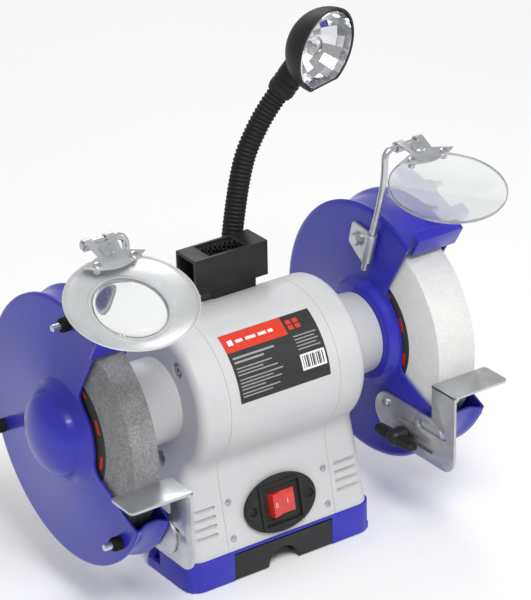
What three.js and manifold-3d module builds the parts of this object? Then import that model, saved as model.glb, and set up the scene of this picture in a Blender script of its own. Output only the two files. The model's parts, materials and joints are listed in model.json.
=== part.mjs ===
// Double-wheel bench grinder with guards, eye shields, tool rests, work light,
// dresser on its saddle and a pull-out coolant tray. Millimetres, +Z up,
// +X from the narrow wheel to the wide wheel, the user stands at -Y,
// origin on the bench plane under the middle of the motor.
import * as THREE from 'three';
import { mergeVertices } from 'three/addons/utils/BufferGeometryUtils.js';
import Module from 'manifold-3d';

const wasm = await Module();
wasm.setup();

// driving dimensions
const TOUCH = 0.3; // gap between faces that meet
const FIT = 0.06; // radial clearance of a running or push fit
const SHAFT_HEIGHT = 163;

const WHEEL_RADIUS = 100;
const LEFT = {
  sign: -1, name: 'left', wheelInner: 150, wheelWidth: 25,
  // shield frame ahead of the rod, its slope, its offset along X
  shieldReach: 46, shieldTilt: 26, shieldShift: 6,
};
const RIGHT = {
  sign: 1, name: 'right', wheelInner: 137, wheelWidth: 40,
  shieldReach: 36, shieldTilt: 16, shieldShift: -4,
};

const JOURNAL_RADIUS = 10;
const SPINDLE_RADIUS = 8;
const FLANGE_RADIUS = 36;
const FLANGE_THICKNESS = 5;
const NUT_ACROSS_FLATS = 24;
const NUT_HEIGHT = 13;
const THREAD_PROUD = 4;

const BODY_RADIUS = 66.6;
const BODY_WALL = 6;
const BODY_HALF = 86; // end face of the round part of each bell
const BODY_EDGE = 9; // rounding of that end face
const SEAM = 56.5; // joint between the middle section and each bell
const NECK_RADIUS = 37;
const PEDESTAL = { wall: 3.5, top: 108, bottomX: 95, bottomY: 57.5, topX: 93, topY: 40.5, corner: 13 };

const BASE = { halfX: 97, halfY: 59, height: 28.4, wall: 4, corner: 14, earRear: 14, earFront: -10 };
const EAR_THICKNESS = 8.5;
const REAR_HALF_X = 82; // the casting is narrower behind its bolt ears
const FOOT_RADIUS = 9;
const FOOT_HEIGHT = 4;
const WEB_THICKNESS = 2; // cross web that the coolant tray runs on

const TRAY = { halfX: 51.5, depth: 100, height: 22.5, wall: 2.5, gripRadius: 16, gripDepth: 34 };

const STATOR = { half: 32, bore: 36 };
const AIR_GAP = 0.6;
const BEARING = { outer: 23.5, width: 14, start: 92 };

const SHEET = 2;
const GUARD_RADIUS = 118;
const GUARD_WAIST = 114;
const GUARD_CLEAR = 4; // from the wheel's inner face to the guard's motor-side face
const COVER_CLEAR = 5; // from the wheel's outer face to the cover's outer face
const HUB_DISH = 8;
const HUB_RING_RADIUS = 49;
const HUB_HOLE_RADIUS = 15;
// degrees from the rear, over the top
const OPENING = { top: 121.5, bottom: 204, guardBulge: 51, coverBulge: 44 };
const DOME = { base: 46, shoulder: 37, shoulderHeight: 9, height: 27 };
const STUD = { radius: 2.5, ring: 107, pillar: 5, angles: [99.6, 219.6, 339.6] };
const CAP = { radius: 6, height: 8, pinRadius: 3, pinLength: 8 };

const KNOB = { y: -64, hub: 8, reach: 16, barHalf: 26, barHeight: 9, stud: 3.4 };
const REST = {
  top: 151, thick: 2.5, front: -133, back: -101.5, width: 59, armBack: -102,
  footTop: 117, footBottom: 74, corner: 15, slotHalf: KNOB.stud + 0.6, lug: 9,
  upperSlot: 107, lowerSlot: 87, upperFront: -122, upperBack: -83, lowerFront: -104, lowerBack: -52,
};
const BRACKET = { thick: 2.5, front: -112, back: -18, low: 79, high: 115 };

const ROD_RADIUS = 3;
const ROD_OFFSET = 6; // rod centre from the guard's face
const ROD = { footY: -8, footZ: 230, kneeY: -20, kneeZ: 268, topZ: 347, bend: 10, reach: 31 };
const CLAMP = { y0: -4, y1: 20, z0: 231, z1: 264, thick: 3, tube: 5, tubeLength: 30 };
const SHIELD_PLATE = {
  halfTop: 14, halfWide: 29, depth: 33, neck: 17, thick: 1.6,
  sleeve: 5, spacer: 3, spacerX: 17, spacerY: 27,
};
const CLEAR_SHIELD = { halfX: 53.5, halfDown: 47, thick: 3, centre: 62 };
const MAGNIFIER = { halfX: 57.5, halfDown: 49.5, sheet: 1.6, centre: 64, lens: 30.8, dish: 9,
  lensThick: 7 };
const SHIELD_DROP = 4.5; // gap from the bracket plate down to the shield, taken up by spacers

const DEFLECTOR = { inner: 106, outer: 128, thick: 2, fold: 8, start: 6, overhang: 5 };

const SWITCH = {
  z: 57, ovalX: 37.5, ovalZ: 26, plate: 3.5,
  frameX: 21, frameZ: 19, frameHeight: 7, rim: 3, sleeve: 1.6,
};
const ROCKER = { halfX: 12.4, halfZ: 10.6, pivotDepth: 4, rear: 6, slope: 10, hole: 1.9 };

const DRESSER = { x0: -30, x1: 45, y0: 22, y1: 52, z0: 233.6, z1: 266, wall: 3 };
const SADDLE = { x0: -11, x1: 33, y0: 23, y1: 45 };
const CUTTER = {
  radius: 11.6, proud: 3, x0: -10, x1: 20, discs: 4, thick: 3.5,
  hub: 6, teeth: 8, toothDepth: 3, pin: 3,
};

const LAMP = { x: 32, y: 62.5, socketTop: 208, socketRadius: 13, hose: 9.5, flexGap: 3.2 };
// hose centre line as x and height over the socket
const HOSE_ROUTE = [[32, 0], [36, 48.5], [50, 114], [63, 138.5], [76.2, 155.6], [90, 169.5]];
const HOSE_SPLIT = 0.56; // share of the hose below its middle joint
const COLLAR = { radius: 12, length: 27, direction: [0.45, -0.35, 0.82] };
const SHADE = {
  radius: 42, wall: 2, depth: 42,
  opening: [112, 25, 425], facing: [0.28, -0.95, -0.12], flat: 34.2,
};
const BULB = { radius: 9, length: 30 };

const COARSE = 12; // facets of small, medium and large rounds
const ROUND = 20;
const FINE = 28;

// finishes
const finish = (color, roughness, metalness) => ({ color, roughness, metalness });
const BLUE_ENAMEL = finish(0x3b3aa6, 0.3, 0.1);
const GREY_ENAMEL = finish(0xcfd0d2, 0.45, 0.05);
const BLACK_PLASTIC = finish(0x2a2a2a, 0.6, 0);
const RUBBER = finish(0x1c1c1c, 0.9, 0);
const RED_PLASTIC = finish(0xc8322d, 0.35, 0);
const ZINC = finish(0xb9bcc0, 0.35, 0.9);
const STEEL = finish(0x9fa2a6, 0.4, 0.9);
const COPPER = finish(0x9a6238, 0.5, 0.7);
const GREY_STONE = finish(0x98989a, 0.95, 0);
const WHITE_STONE = finish(0xe2e2e0, 0.95, 0);
const CLEAR = finish(0xe8eef0, 0.1, 0);
const CHROME = finish(0xd8d8d8, 0.15, 1);

// solids
const RAD = Math.PI / 180;
const WELD = 1e-4;

function solidOf(geometry) {
  const bare = geometry.clone();
  for (const key of Object.keys(bare.attributes)) {
    if (key !== 'position') bare.deleteAttribute(key);
  }
  const merged = mergeVertices(bare, WELD);
  const points = merged.attributes.position.array;
  const corners = merged.index.array;
  const triangles = [];
  let volume = 0;
  const vertex = (i) => new THREE.Vector3().fromArray(points, 3 * i);
  for (let i = 0; i < corners.length; i += 3) {
    const [a, b, c] = [corners[i], corners[i + 1], corners[i + 2]];
    if (a === b || b === c || c === a) continue;
    triangles.push(a, b, c);
    volume += vertex(a).dot(vertex(b).cross(vertex(c)));
  }
  if (volume < 0) triangles.reverse();
  const mesh = new wasm.Mesh({
    numProp: 3,
    vertProperties: new Float32Array(points),
    triVerts: new Uint32Array(triangles),
  });
  return new wasm.Manifold(mesh);
}

function geometryOf(solid) {
  const mesh = solid.getMesh();
  const geometry = new THREE.BufferGeometry();
  geometry.setAttribute('position', new THREE.BufferAttribute(new Float32Array(mesh.vertProperties), 3));
  geometry.setIndex(new THREE.BufferAttribute(new Uint32Array(mesh.triVerts), 1));
  geometry.computeVertexNormals();
  return geometry;
}

function block(x0, x1, y0, y1, z0, z1) {
  const box = new THREE.BoxGeometry(Math.abs(x1 - x0), Math.abs(y1 - y0), Math.abs(z1 - z0));
  box.translate((x0 + x1) / 2, (y0 + y1) / 2, (z0 + z1) / 2);
  return solidOf(box);
}

// revolves a closed profile of [x, radius] points about the X axis
function turned(profile, segments = FINE) {
  const points = profile.map(([x, r]) => new THREE.Vector2(r, x));
  if (profile[0][1] > 0 || profile.at(-1)[1] > 0) points.push(points[0].clone());
  return solidOf(new THREE.LatheGeometry(points, segments).rotateZ(-Math.PI / 2));
}

function bar(x0, x1, radius, segments = COARSE) {
  return turned([[x0, 0], [x0, radius], [x1, radius], [x1, 0]], segments);
}

function ring(x0, x1, inner, outer, segments = FINE) {
  return turned([[x0, inner], [x0, outer], [x1, outer], [x1, inner]], segments);
}

// a cylinder along X, moved to (y, z)
function pin(x0, x1, y, z, radius, segments = COARSE) {
  const from = Math.min(x0, x1);
  const cylinder = new THREE.CylinderGeometry(radius, radius, Math.abs(x1 - x0), segments);
  cylinder.rotateZ(-Math.PI / 2).translate(from + Math.abs(x1 - x0) / 2, y, z);
  return solidOf(cylinder);
}

function post(x, y, z0, z1, radius, segments = COARSE) {
  const cylinder = new THREE.CylinderGeometry(radius, radius, z1 - z0, segments);
  return solidOf(cylinder.rotateX(Math.PI / 2).translate(x, y, (z0 + z1) / 2));
}

const YZ_PLANE = new THREE.Matrix4().set(0, 0, 1, 0, 1, 0, 0, 0, 0, 1, 0, 0, 0, 0, 0, 1);

// a sheet whose outline is drawn in (y, z) and which runs from x0 to x1
function sideSheet(shape, x0, x1, curveSegments = 6) {
  const plate = new THREE.ExtrudeGeometry(shape, { depth: Math.abs(x1 - x0), bevelEnabled: false,
    curveSegments });
  return solidOf(plate.applyMatrix4(YZ_PLANE).translate(Math.min(x0, x1), 0, 0));
}

// a sheet whose outline is drawn in (x, y) and which runs from z0 up to z1
function flatSheet(shape, z0, z1, curveSegments = 6) {
  const plate = new THREE.ExtrudeGeometry(shape, { depth: z1 - z0, bevelEnabled: false, curveSegments });
  return solidOf(plate.translate(0, 0, z0));
}

// a sheet whose outline is drawn in (x, z) and which runs from y1 forward to y0
function frontSheet(shape, y0, y1, curveSegments = 6) {
  const plate = new THREE.ExtrudeGeometry(shape, { depth: y1 - y0, bevelEnabled: false, curveSegments });
  return solidOf(plate.rotateX(Math.PI / 2).translate(0, y1, 0));
}

// a rod or hose of round section through [x, y, z] points
function tube(points, radius, steps, sides = 10) {
  const path = new THREE.CatmullRomCurve3(points.map((p) => new THREE.Vector3(...p)), false, 'centripetal');
  const section = new THREE.Shape().absarc(0, 0, radius, 0, 2 * Math.PI);
  const settings = { steps, extrudePath: path, bevelEnabled: false, curveSegments: sides / 2 };
  return solidOf(new THREE.ExtrudeGeometry(section, settings));
}

function roundedRectangle(halfX, halfY, radius, height) {
  const points = [];
  const centres = [[1, 1], [-1, 1], [-1, -1], [1, -1]];
  centres.forEach(([sx, sy], quarter) => {
    for (let step = 0; step <= 3; step += 1) {
      const angle = (quarter * 90 + step * 30) * RAD;
      const x = sx * (halfX - radius) + radius * Math.cos(angle);
      const y = sy * (halfY - radius) + radius * Math.sin(angle);
      points.push(new THREE.Vector3(x, y, height));
    }
  });
  return points;
}

// a closed skin through level outlines that have the same number of points
function loft(levels) {
  const count = levels[0].length;
  const positions = levels.flat().flatMap((p) => [p.x, p.y, p.z]);
  const triangles = [];
  for (let level = 0; level < levels.length - 1; level += 1) {
    for (let i = 0; i < count; i += 1) {
      const next = (i + 1) % count;
      const [a, b] = [level * count + i, level * count + next];
      triangles.push(a, b, b + count, a, b + count, a + count);
    }
  }
  const top = (levels.length - 1) * count;
  for (let i = 1; i < count - 1; i += 1) {
    triangles.push(0, i + 1, i, top, top + i, top + i + 1);
  }
  const geometry = new THREE.BufferGeometry();
  geometry.setAttribute('position', new THREE.Float32BufferAttribute(positions, 3));
  geometry.setIndex(triangles);
  return solidOf(geometry);
}

function ellipse(cx, cy, rx, ry) {
  return new THREE.Shape().absellipse(cx, cy, rx, ry, 0, 2 * Math.PI);
}

function stadium(x0, x1, y0, y1) {
  const radius = (y1 - y0) / 2;
  const middle = (y0 + y1) / 2;
  const shape = new THREE.Shape();
  shape.absarc(x1 - radius, middle, radius, -Math.PI / 2, Math.PI / 2);
  shape.absarc(x0 + radius, middle, radius, Math.PI / 2, 1.5 * Math.PI);
  shape.closePath();
  return shape;
}

function polygon(points) {
  return new THREE.Shape(points.map(([u, v]) => new THREE.Vector2(u, v)));
}

const grinder = new THREE.Group();
const spindleLine = new THREE.Group();
spindleLine.position.z = SHAFT_HEIGHT;
grinder.add(spindleLine);

function addMesh(name, solid, look, parent = grinder) {
  const mesh = new THREE.Mesh(geometryOf(solid), new THREE.MeshStandardMaterial(look));
  mesh.name = name;
  parent.add(mesh);
  return mesh;
}

// derived places of one side
function stationsOf(side) {
  const guardFace = side.wheelInner - GUARD_CLEAR;
  const wheelOuter = side.wheelInner + side.wheelWidth;
  const coverFace = wheelOuter + COVER_CLEAR;
  return {
    guardFace, wheelOuter, coverFace,
    dishFace: guardFace - HUB_DISH,
    neckEnd: guardFace - HUB_DISH - TOUCH,
    shellEnd: coverFace - SHEET - TOUCH,
    shoulder: side.wheelInner - FLANGE_THICKNESS - 2 * FIT,
    nutStart: wheelOuter + FLANGE_THICKNESS + 2 * FIT,
    shaftEnd: wheelOuter + FLANGE_THICKNESS + NUT_HEIGHT + THREAD_PROUD,
    rodX: guardFace - ROD_OFFSET,
  };
}

// turned profile of the right-hand piece, mirrored for the left-hand one
function handed(side, profile) {
  return side.sign > 0 ? profile : profile.map(([x, r]) => [-x, r]);
}

// base casting, feet and coolant tray
function baseOutline(inset) {
  const front = -BASE.halfY + inset;
  const side = BASE.halfX - inset;
  const rear = BASE.halfY - inset;
  const narrow = REAR_HALF_X - inset;
  const radius = BASE.corner - inset;
  const shape = new THREE.Shape();
  shape.absarc(-side + radius, front + radius, radius, Math.PI, 1.5 * Math.PI);
  shape.absarc(side - radius, front + radius, radius, 1.5 * Math.PI, 2 * Math.PI);
  shape.lineTo(side, BASE.earFront - inset);
  shape.lineTo(narrow, BASE.earFront - inset);
  shape.absarc(narrow - radius, rear - radius, radius, 0, Math.PI / 2);
  shape.absarc(-narrow + radius, rear - radius, radius, Math.PI / 2, Math.PI);
  shape.lineTo(-narrow, BASE.earFront - inset);
  shape.lineTo(-side, BASE.earFront - inset);
  shape.closePath();
  return shape;
}

const FOOT_PLACES = [
  ['front_left', -80, -42], ['front_right', 80, -42], ['rear_left', -66, 42], ['rear_right', 66, 42],
];

function baseCasting() {
  const ear = 5;
  let casting = flatSheet(baseOutline(0), 0, BASE.height, 2);
  casting = casting.subtract(flatSheet(baseOutline(BASE.wall), -1, BASE.height + 1, 2));
  for (const sign of [-1, 1]) {
    const shape = new THREE.Shape();
    shape.moveTo(sign * (REAR_HALF_X - BASE.wall), BASE.earFront - BASE.wall);
    shape.lineTo(sign * BASE.halfX, BASE.earFront - BASE.wall);
    shape.lineTo(sign * BASE.halfX, BASE.earRear - ear);
    shape.lineTo(sign * (BASE.halfX - ear), BASE.earRear);
    shape.lineTo(sign * (REAR_HALF_X - BASE.wall), BASE.earRear);
    shape.closePath();
    casting = casting.add(flatSheet(shape, 0, EAR_THICKNESS));
    casting = casting.subtract(post(sign * 90, 3, -1, EAR_THICKNESS + 1, 3.5));
  }
  const inner = REAR_HALF_X - BASE.wall / 2;
  casting = casting.add(block(-inner, inner, -9, 9, 0, WEB_THICKNESS));
  for (const [, x, y] of FOOT_PLACES) {
    const pad = block(x - 13, x + 13, y - 13, y + 13, 0, FOOT_HEIGHT + 3);
    const wallTie = block(x, x + Math.sign(x) * 14, y - 13, y + 13, 0, FOOT_HEIGHT + 3);
    casting = casting.add(pad).add(wallTie);
    casting = casting.subtract(post(x, y, -1, FOOT_HEIGHT, FOOT_RADIUS + TOUCH));
  }
  const slotHalf = TRAY.halfX + TOUCH;
  const slotTop = TRAY.height + WEB_THICKNESS + 2;
  casting = casting.subtract(block(-slotHalf, slotHalf, -BASE.halfY - 1,
    -BASE.halfY + BASE.wall + 1, -1, slotTop));
  return casting.subtract(glandHole());
}

const GLAND = { x: 45, z: 16, radius: 7, flange: 10 };

function glandHole() {
  const hole = new THREE.CylinderGeometry(GLAND.radius + TOUCH, GLAND.radius + TOUCH,
    3 * BASE.wall, COARSE);
  return solidOf(hole.translate(GLAND.x, BASE.halfY - BASE.wall / 2, GLAND.z));
}

// rubber cable gland in the rear wall, bored for a mains lead
function cableGland() {
  const body = new THREE.CylinderGeometry(GLAND.radius, GLAND.radius, BASE.wall + 4, COARSE);
  const flange = new THREE.CylinderGeometry(GLAND.radius, GLAND.flange, 5, COARSE);
  const bore = new THREE.CylinderGeometry(3.6, 3.6, 60, COARSE);
  body.translate(0, BASE.halfY - BASE.wall / 2, 0);
  flange.translate(0, BASE.halfY + TOUCH + 2.5, 0);
  bore.translate(0, BASE.halfY, 0);
  const gland = solidOf(body).add(solidOf(flange)).subtract(solidOf(bore));
  return gland;
}

function coolantTray() {
  const z0 = WEB_THICKNESS + TOUCH;
  const z1 = z0 + TRAY.height;
  const front = -BASE.halfY;
  const back = front + TRAY.depth;
  const w = TRAY.wall;
  const half = TRAY.halfX - 2;
  let tray = block(-half, half, front + 1, back, z0, z1 - 3);
  tray = tray.add(block(-TRAY.halfX, TRAY.halfX, front, front + w, 0.5, z1));
  tray = tray.subtract(block(-half + w, half - w, front + w, back - w, z0 + w, z1 + 1));
  const scoop = (radius, length) => {
    const cylinder = new THREE.CylinderGeometry(radius, radius, length, 24);
    return solidOf(cylinder.translate(0, front + length / 2, 0));
  };
  tray = tray.add(scoop(TRAY.gripRadius + w, TRAY.gripDepth).intersect(block(-30, 30, front,
    front + 60, z0, z1)));
  tray = tray.subtract(scoop(TRAY.gripRadius, TRAY.gripDepth - w));
  return tray.subtract(block(-30, 30, front - 20, front + TRAY.gripDepth - w, -30, 0.4));
}

// motor housing
function pedestal(inset, bottom, lift) {
  const p = PEDESTAL;
  const corner = p.corner - inset;
  return loft([
    roundedRectangle(p.bottomX - inset, p.bottomY - inset, corner, bottom),
    roundedRectangle(p.topX - inset, p.topY - inset, corner, p.top - lift),
    roundedRectangle(p.topX - inset - 6, p.topY - inset - 14, corner - 3, p.top + 14 - lift),
  ]);
}

const HOUSING_BOTTOM = BASE.height + TOUCH;

function bodyOutline() {
  const rounding = [];
  for (let step = 0; step <= 3; step += 1) {
    const angle = step * 30 * RAD;
    rounding.push([
      BODY_HALF - BODY_EDGE + BODY_EDGE * Math.sin(angle),
      BODY_RADIUS - BODY_EDGE + BODY_EDGE * Math.cos(angle),
    ]);
  }
  return rounding;
}

function raised(solid) {
  return solid.translate([0, 0, SHAFT_HEIGHT]);
}

function housingSkin(side) {
  const s = stationsOf(side);
  const profile = [[0, 0], [0, BODY_RADIUS], ...bodyOutline(), [BODY_HALF, NECK_RADIUS + 3]];
  profile.push([BODY_HALF + 3, NECK_RADIUS], [s.neckEnd, NECK_RADIUS], [s.neckEnd, 0]);
  return raised(turned(handed(side, profile), FINE)).add(pedestal(0, HOUSING_BOTTOM, 0));
}

function housingHollow(side) {
  const bore = BODY_RADIUS - BODY_WALL;
  const bearingEnd = BEARING.start + BEARING.width;
  const s = stationsOf(side);
  const profile = [
    [-1, 0], [-1, bore], [BODY_HALF - BODY_WALL, bore], [BODY_HALF - BODY_WALL, BEARING.outer + FIT],
    [bearingEnd, BEARING.outer + FIT], [bearingEnd, HUB_HOLE_RADIUS], [s.neckEnd + 1, HUB_HOLE_RADIUS],
    [s.neckEnd + 1, 0],
  ];
  const cavity = pedestal(PEDESTAL.wall, HOUSING_BOTTOM - 1, 2);
  return raised(turned(handed(side, profile), FINE)).add(cavity);
}

function endBell(side) {
  const far = side.wheelInner + 10;
  const keep = block(side.sign * (SEAM + TOUCH / 2), side.sign * far, -80, 80, 0, 300);
  return housingSkin(side).subtract(housingHollow(side)).intersect(keep);
}

function statorHousing() {
  const keep = block(-SEAM + TOUCH / 2, SEAM - TOUCH / 2, -80, 80, 0, 300);
  const skin = raised(bar(-BODY_HALF, BODY_HALF, BODY_RADIUS, FINE)).add(pedestal(0, HOUSING_BOTTOM, 0));
  const hollow = raised(bar(-BODY_HALF - 1, BODY_HALF + 1, BODY_RADIUS - BODY_WALL, FINE));
  const cavity = pedestal(PEDESTAL.wall, HOUSING_BOTTOM - 1, 2);
  const window = block(-17, 17, -80, -30, SWITCH.z - 15, SWITCH.z + 15);
  return skin.subtract(hollow).subtract(cavity).intersect(keep).subtract(window);
}

// switch on the sloping front of the pedestal
const FACE_LEAN = Math.atan2(PEDESTAL.bottomY - PEDESTAL.topY, PEDESTAL.top - HOUSING_BOTTOM);
const faceY = (z) => -(PEDESTAL.bottomY - (z - HOUSING_BOTTOM) * Math.tan(FACE_LEAN));
const switchPanel = new THREE.Group();
switchPanel.position.set(0, faceY(SWITCH.z), SWITCH.z);
switchPanel.rotation.x = -FACE_LEAN;
grinder.add(switchPanel);

function switchPlate() {
  const s = SWITCH;
  const holeX = ROCKER.halfX + ROCKER.hole;
  const holeZ = ROCKER.halfZ + TOUCH;
  const rearFace = -TOUCH;
  let plate = frontSheet(ellipse(0, 0, s.ovalX, s.ovalZ), rearFace - s.plate, rearFace, 10);
  plate = plate.add(block(-s.frameX, s.frameX, rearFace - s.frameHeight, rearFace - 1, -s.frameZ,
    s.frameZ));
  const [wellX, wellZ] = [s.frameX - s.rim, s.frameZ - s.rim];
  plate = plate.subtract(block(-wellX, wellX, -30, rearFace - s.plate + 1, -wellZ, wellZ));
  const [sleeveX, sleeveZ] = [holeX + s.sleeve, holeZ + s.sleeve];
  plate = plate.add(block(-sleeveX, sleeveX, rearFace - s.plate, 14, -sleeveZ, sleeveZ));
  return plate.subtract(block(-holeX, holeX, -30, 12.5, -holeZ, holeZ));
}

function rocker() {
  const r = ROCKER;
  const rise = r.halfX * Math.tan(r.slope * RAD);
  const valley = -SWITCH.plate - 1 - r.pivotDepth;
  const shape = polygon([
    [-r.halfX, r.rear], [-r.halfX, valley - rise], [0, valley], [r.halfX, valley - rise], [r.halfX, r.rear],
  ]);
  return flatSheet(shape, -r.halfZ, r.halfZ);
}

// stator, rotor, shaft and bearings, all on the spindle line
function shaft() {
  const l = stationsOf(LEFT);
  const r = stationsOf(RIGHT);
  return turned([
    [-l.shaftEnd, 0], [-l.shaftEnd, SPINDLE_RADIUS], [-l.shoulder, SPINDLE_RADIUS], [-l.shoulder,
      JOURNAL_RADIUS],
    [r.shoulder, JOURNAL_RADIUS], [r.shoulder, SPINDLE_RADIUS], [r.shaftEnd, SPINDLE_RADIUS],
      [r.shaftEnd, 0],
  ]);
}

function spindleNut(side) {
  const s = stationsOf(side);
  const corner = NUT_ACROSS_FLATS / Math.sqrt(3);
  const nut = pin(side.sign * s.nutStart, side.sign * (s.nutStart + NUT_HEIGHT), 0, 0, corner, 6);
  return nut.subtract(bar(-400, 400, SPINDLE_RADIUS + FIT, FINE));
}

function wheel(side) {
  const s = stationsOf(side);
  const profile = [
    [side.wheelInner, SPINDLE_RADIUS + FIT], [side.wheelInner, WHEEL_RADIUS - 1],
    [side.wheelInner + 1, WHEEL_RADIUS], [s.wheelOuter - 1, WHEEL_RADIUS],
    [s.wheelOuter, WHEEL_RADIUS - 1], [s.wheelOuter, SPINDLE_RADIUS + FIT],
  ];
  return turned(handed(side, profile), FINE);
}

function flange(side, start) {
  const profile = [
    [start, SPINDLE_RADIUS + FIT], [start, FLANGE_RADIUS],
    [start + FLANGE_THICKNESS, FLANGE_RADIUS], [start + FLANGE_THICKNESS, SPINDLE_RADIUS + FIT],
  ];
  return turned(handed(side, profile));
}

// guards
// the front sector that both the shell and the cover leave open, round a bulge over the hub
function frontOpening(bulge, x0, x1) {
  const reach = 2 * GUARD_RADIUS;
  const shape = new THREE.Shape();
  const from = OPENING.top * RAD;
  const to = OPENING.bottom * RAD;
  shape.moveTo(bulge * Math.cos(to), bulge * Math.sin(to));
  shape.absarc(0, 0, bulge, to, from, true);
  shape.absarc(0, 0, reach, from, to, false);
  shape.closePath();
  return sideSheet(shape, x0, x1, 8);
}

function eachStud(act) {
  for (const degrees of STUD.angles) {
    act(STUD.ring * Math.cos(degrees * RAD), STUD.ring * Math.sin(degrees * RAD));
  }
}

function guardShell(side) {
  const s = stationsOf(side);
  const end = s.shellEnd;
  const face = s.guardFace;
  const third = (end - face) / 3;
  const wall = [
    [face, GUARD_WAIST], [face + 3, GUARD_RADIUS], [face + third, GUARD_WAIST],
    [end - third, GUARD_WAIST], [end - 4, GUARD_RADIUS - 1], [end, GUARD_RADIUS],
  ];
  const inside = wall.slice(2).reverse().map(([x, r]) => [x, r - SHEET]);
  const profile = [
    [s.dishFace, HUB_HOLE_RADIUS], [s.dishFace, NECK_RADIUS + 7], [face, HUB_RING_RADIUS], ...wall,
      ...inside,
    [face + SHEET, GUARD_WAIST - SHEET], [face + SHEET, HUB_RING_RADIUS - SHEET],
    [s.dishFace + SHEET, NECK_RADIUS + 7 - SHEET], [s.dishFace + SHEET, HUB_HOLE_RADIUS],
  ];
  let shell = turned(handed(side, profile), FINE);
  const to = side.sign * 400;
  shell = shell.subtract(frontOpening(OPENING.guardBulge, side.sign * (s.dishFace - 5), to));
  eachStud((y, z) => {
    const pillar = pin(side.sign * (face + 1), side.sign * (end - 0.5), y, z, STUD.pillar, 12);
    shell = shell.add(pillar);
  });
  eachStud((y, z) => {
    shell = shell.subtract(pin(side.sign * (end - 16), to, y, z, STUD.radius + TOUCH, 12));
  });
  return shell;
}

function guardCover(side) {
  const s = stationsOf(side);
  const face = s.coverFace;
  const d = DOME;
  const outside = [
    [face - SHEET, GUARD_RADIUS], [face - 1, GUARD_RADIUS], [face, GUARD_RADIUS - 1], [face, d.base],
    [face + d.shoulderHeight * 0.6, d.shoulder + 5], [face + d.shoulderHeight, d.shoulder - 2],
  ];
  const crown = [];
  for (let step = 1; step <= 3; step += 1) {
    const angle = step * 30 * RAD;
    const rise = d.height - d.shoulderHeight;
    crown.push([face + d.shoulderHeight + rise * Math.sin(angle), (d.shoulder - 5) * Math.cos(angle)]);
  }
  crown[2][1] = 0;
  const outer = [...outside.slice(3), ...crown];
  const inner = outer.slice(0, -1).reverse().map(([x, r]) => [x - SHEET, Math.max(r - SHEET, 0.5)]);
  const pole = [face + d.height - SHEET, 0];
  const profile = [pole, ...inner, ...outside.slice(0, 3), ...outer];
  let cover = turned(handed(side, profile), FINE);
  cover = cover.subtract(frontOpening(OPENING.coverBulge, side.sign * (face - 10),
    side.sign * (face + 0.01)));
  eachStud((y, z) => {
    cover = cover.subtract(pin(side.sign * (face - 10), side.sign * (face + 5), y, z,
      STUD.radius + TOUCH, 12));
  });
  return cover;
}

function coverNut(side, y, z) {
  const s = stationsOf(side);
  const face = s.coverFace + TOUCH;
  const sign = side.sign;
  const cap = pin(sign * face, sign * (face + CAP.height), y, z, CAP.radius, 12);
  const tip = pin(sign * (face + CAP.height - 1), sign * (face + CAP.height + CAP.pinLength), y, z,
    CAP.pinRadius, 12);
  const stud = pin(sign * (s.shellEnd - 12), sign * (face + 1), y, z, STUD.radius, 12);
  return cap.add(tip).add(stud);
}

// a folded strip across the upper edge of the opening, drawn with local +Y away from the shaft
function deflector(side) {
  const s = stationsOf(side);
  const d = DEFLECTOR;
  const x0 = side.sign * (s.guardFace + d.start);
  const x1 = side.sign * (s.coverFace + d.overhang);
  const strip = block(x0, x1, d.inner, d.outer, TOUCH, TOUCH + d.thick);
  return strip.add(block(x0, x1, d.outer - d.thick, d.outer, -d.fold, TOUCH + d.thick));
}

// tool rests
function restPlate(side) {
  const s = stationsOf(side);
  const r = REST;
  const near = s.guardFace - TOUCH - BRACKET.thick - TOUCH;
  const x0 = side.sign * (near - r.thick);
  const x1 = side.sign * near;
  const shape = new THREE.Shape();
  shape.moveTo(r.front, r.top);
  shape.lineTo(r.front, r.footBottom + r.corner);
  shape.absarc(r.front + r.corner, r.footBottom + r.corner, r.corner, Math.PI, 1.5 * Math.PI, false);
  const tail = r.lowerSlot - r.footBottom;
  shape.absarc(r.lowerBack - r.slotHalf, r.lowerSlot, tail, -Math.PI / 2, Math.PI / 2, false);
  shape.lineTo(r.upperBack - r.slotHalf + r.lug, r.lowerSlot + tail);
  shape.absarc(r.upperBack - r.slotHalf, r.upperSlot + 1, r.lug, 0, Math.PI / 2, false);
  shape.lineTo(r.armBack + 2, r.footTop);
  shape.lineTo(r.armBack, r.footTop + 2);
  shape.lineTo(r.armBack, r.top);
  shape.closePath();
  let plate = sideSheet(shape, x0, x1, 5);
  const far = side.sign * (near - r.thick + r.width);
  plate = plate.add(block(x0, far, r.front, r.back, r.top - r.thick, r.top));
  const slot = (front, back, z) => sideSheet(stadium(front, back, z - r.slotHalf, z + r.slotHalf),
    x0 - 5, x1 + 5, 4);
  plate = plate.subtract(slot(r.upperFront, r.upperBack, r.upperSlot));
  return plate.subtract(slot(r.lowerFront, r.lowerBack, r.lowerSlot));
}

function restBracket(side) {
  const s = stationsOf(side);
  const b = BRACKET;
  const x1 = s.guardFace - TOUCH;
  const x0 = x1 - b.thick;
  const plate = sideSheet(stadium(b.front, b.back, b.low, b.high), side.sign * x0, side.sign * x1, 5);
  const hole = KNOB.stud + TOUCH;
  return plate.subtract(pin(side.sign * (x0 - 1), side.sign * (x1 + 1), KNOB.y, REST.lowerSlot,
    hole, COARSE));
}

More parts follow.
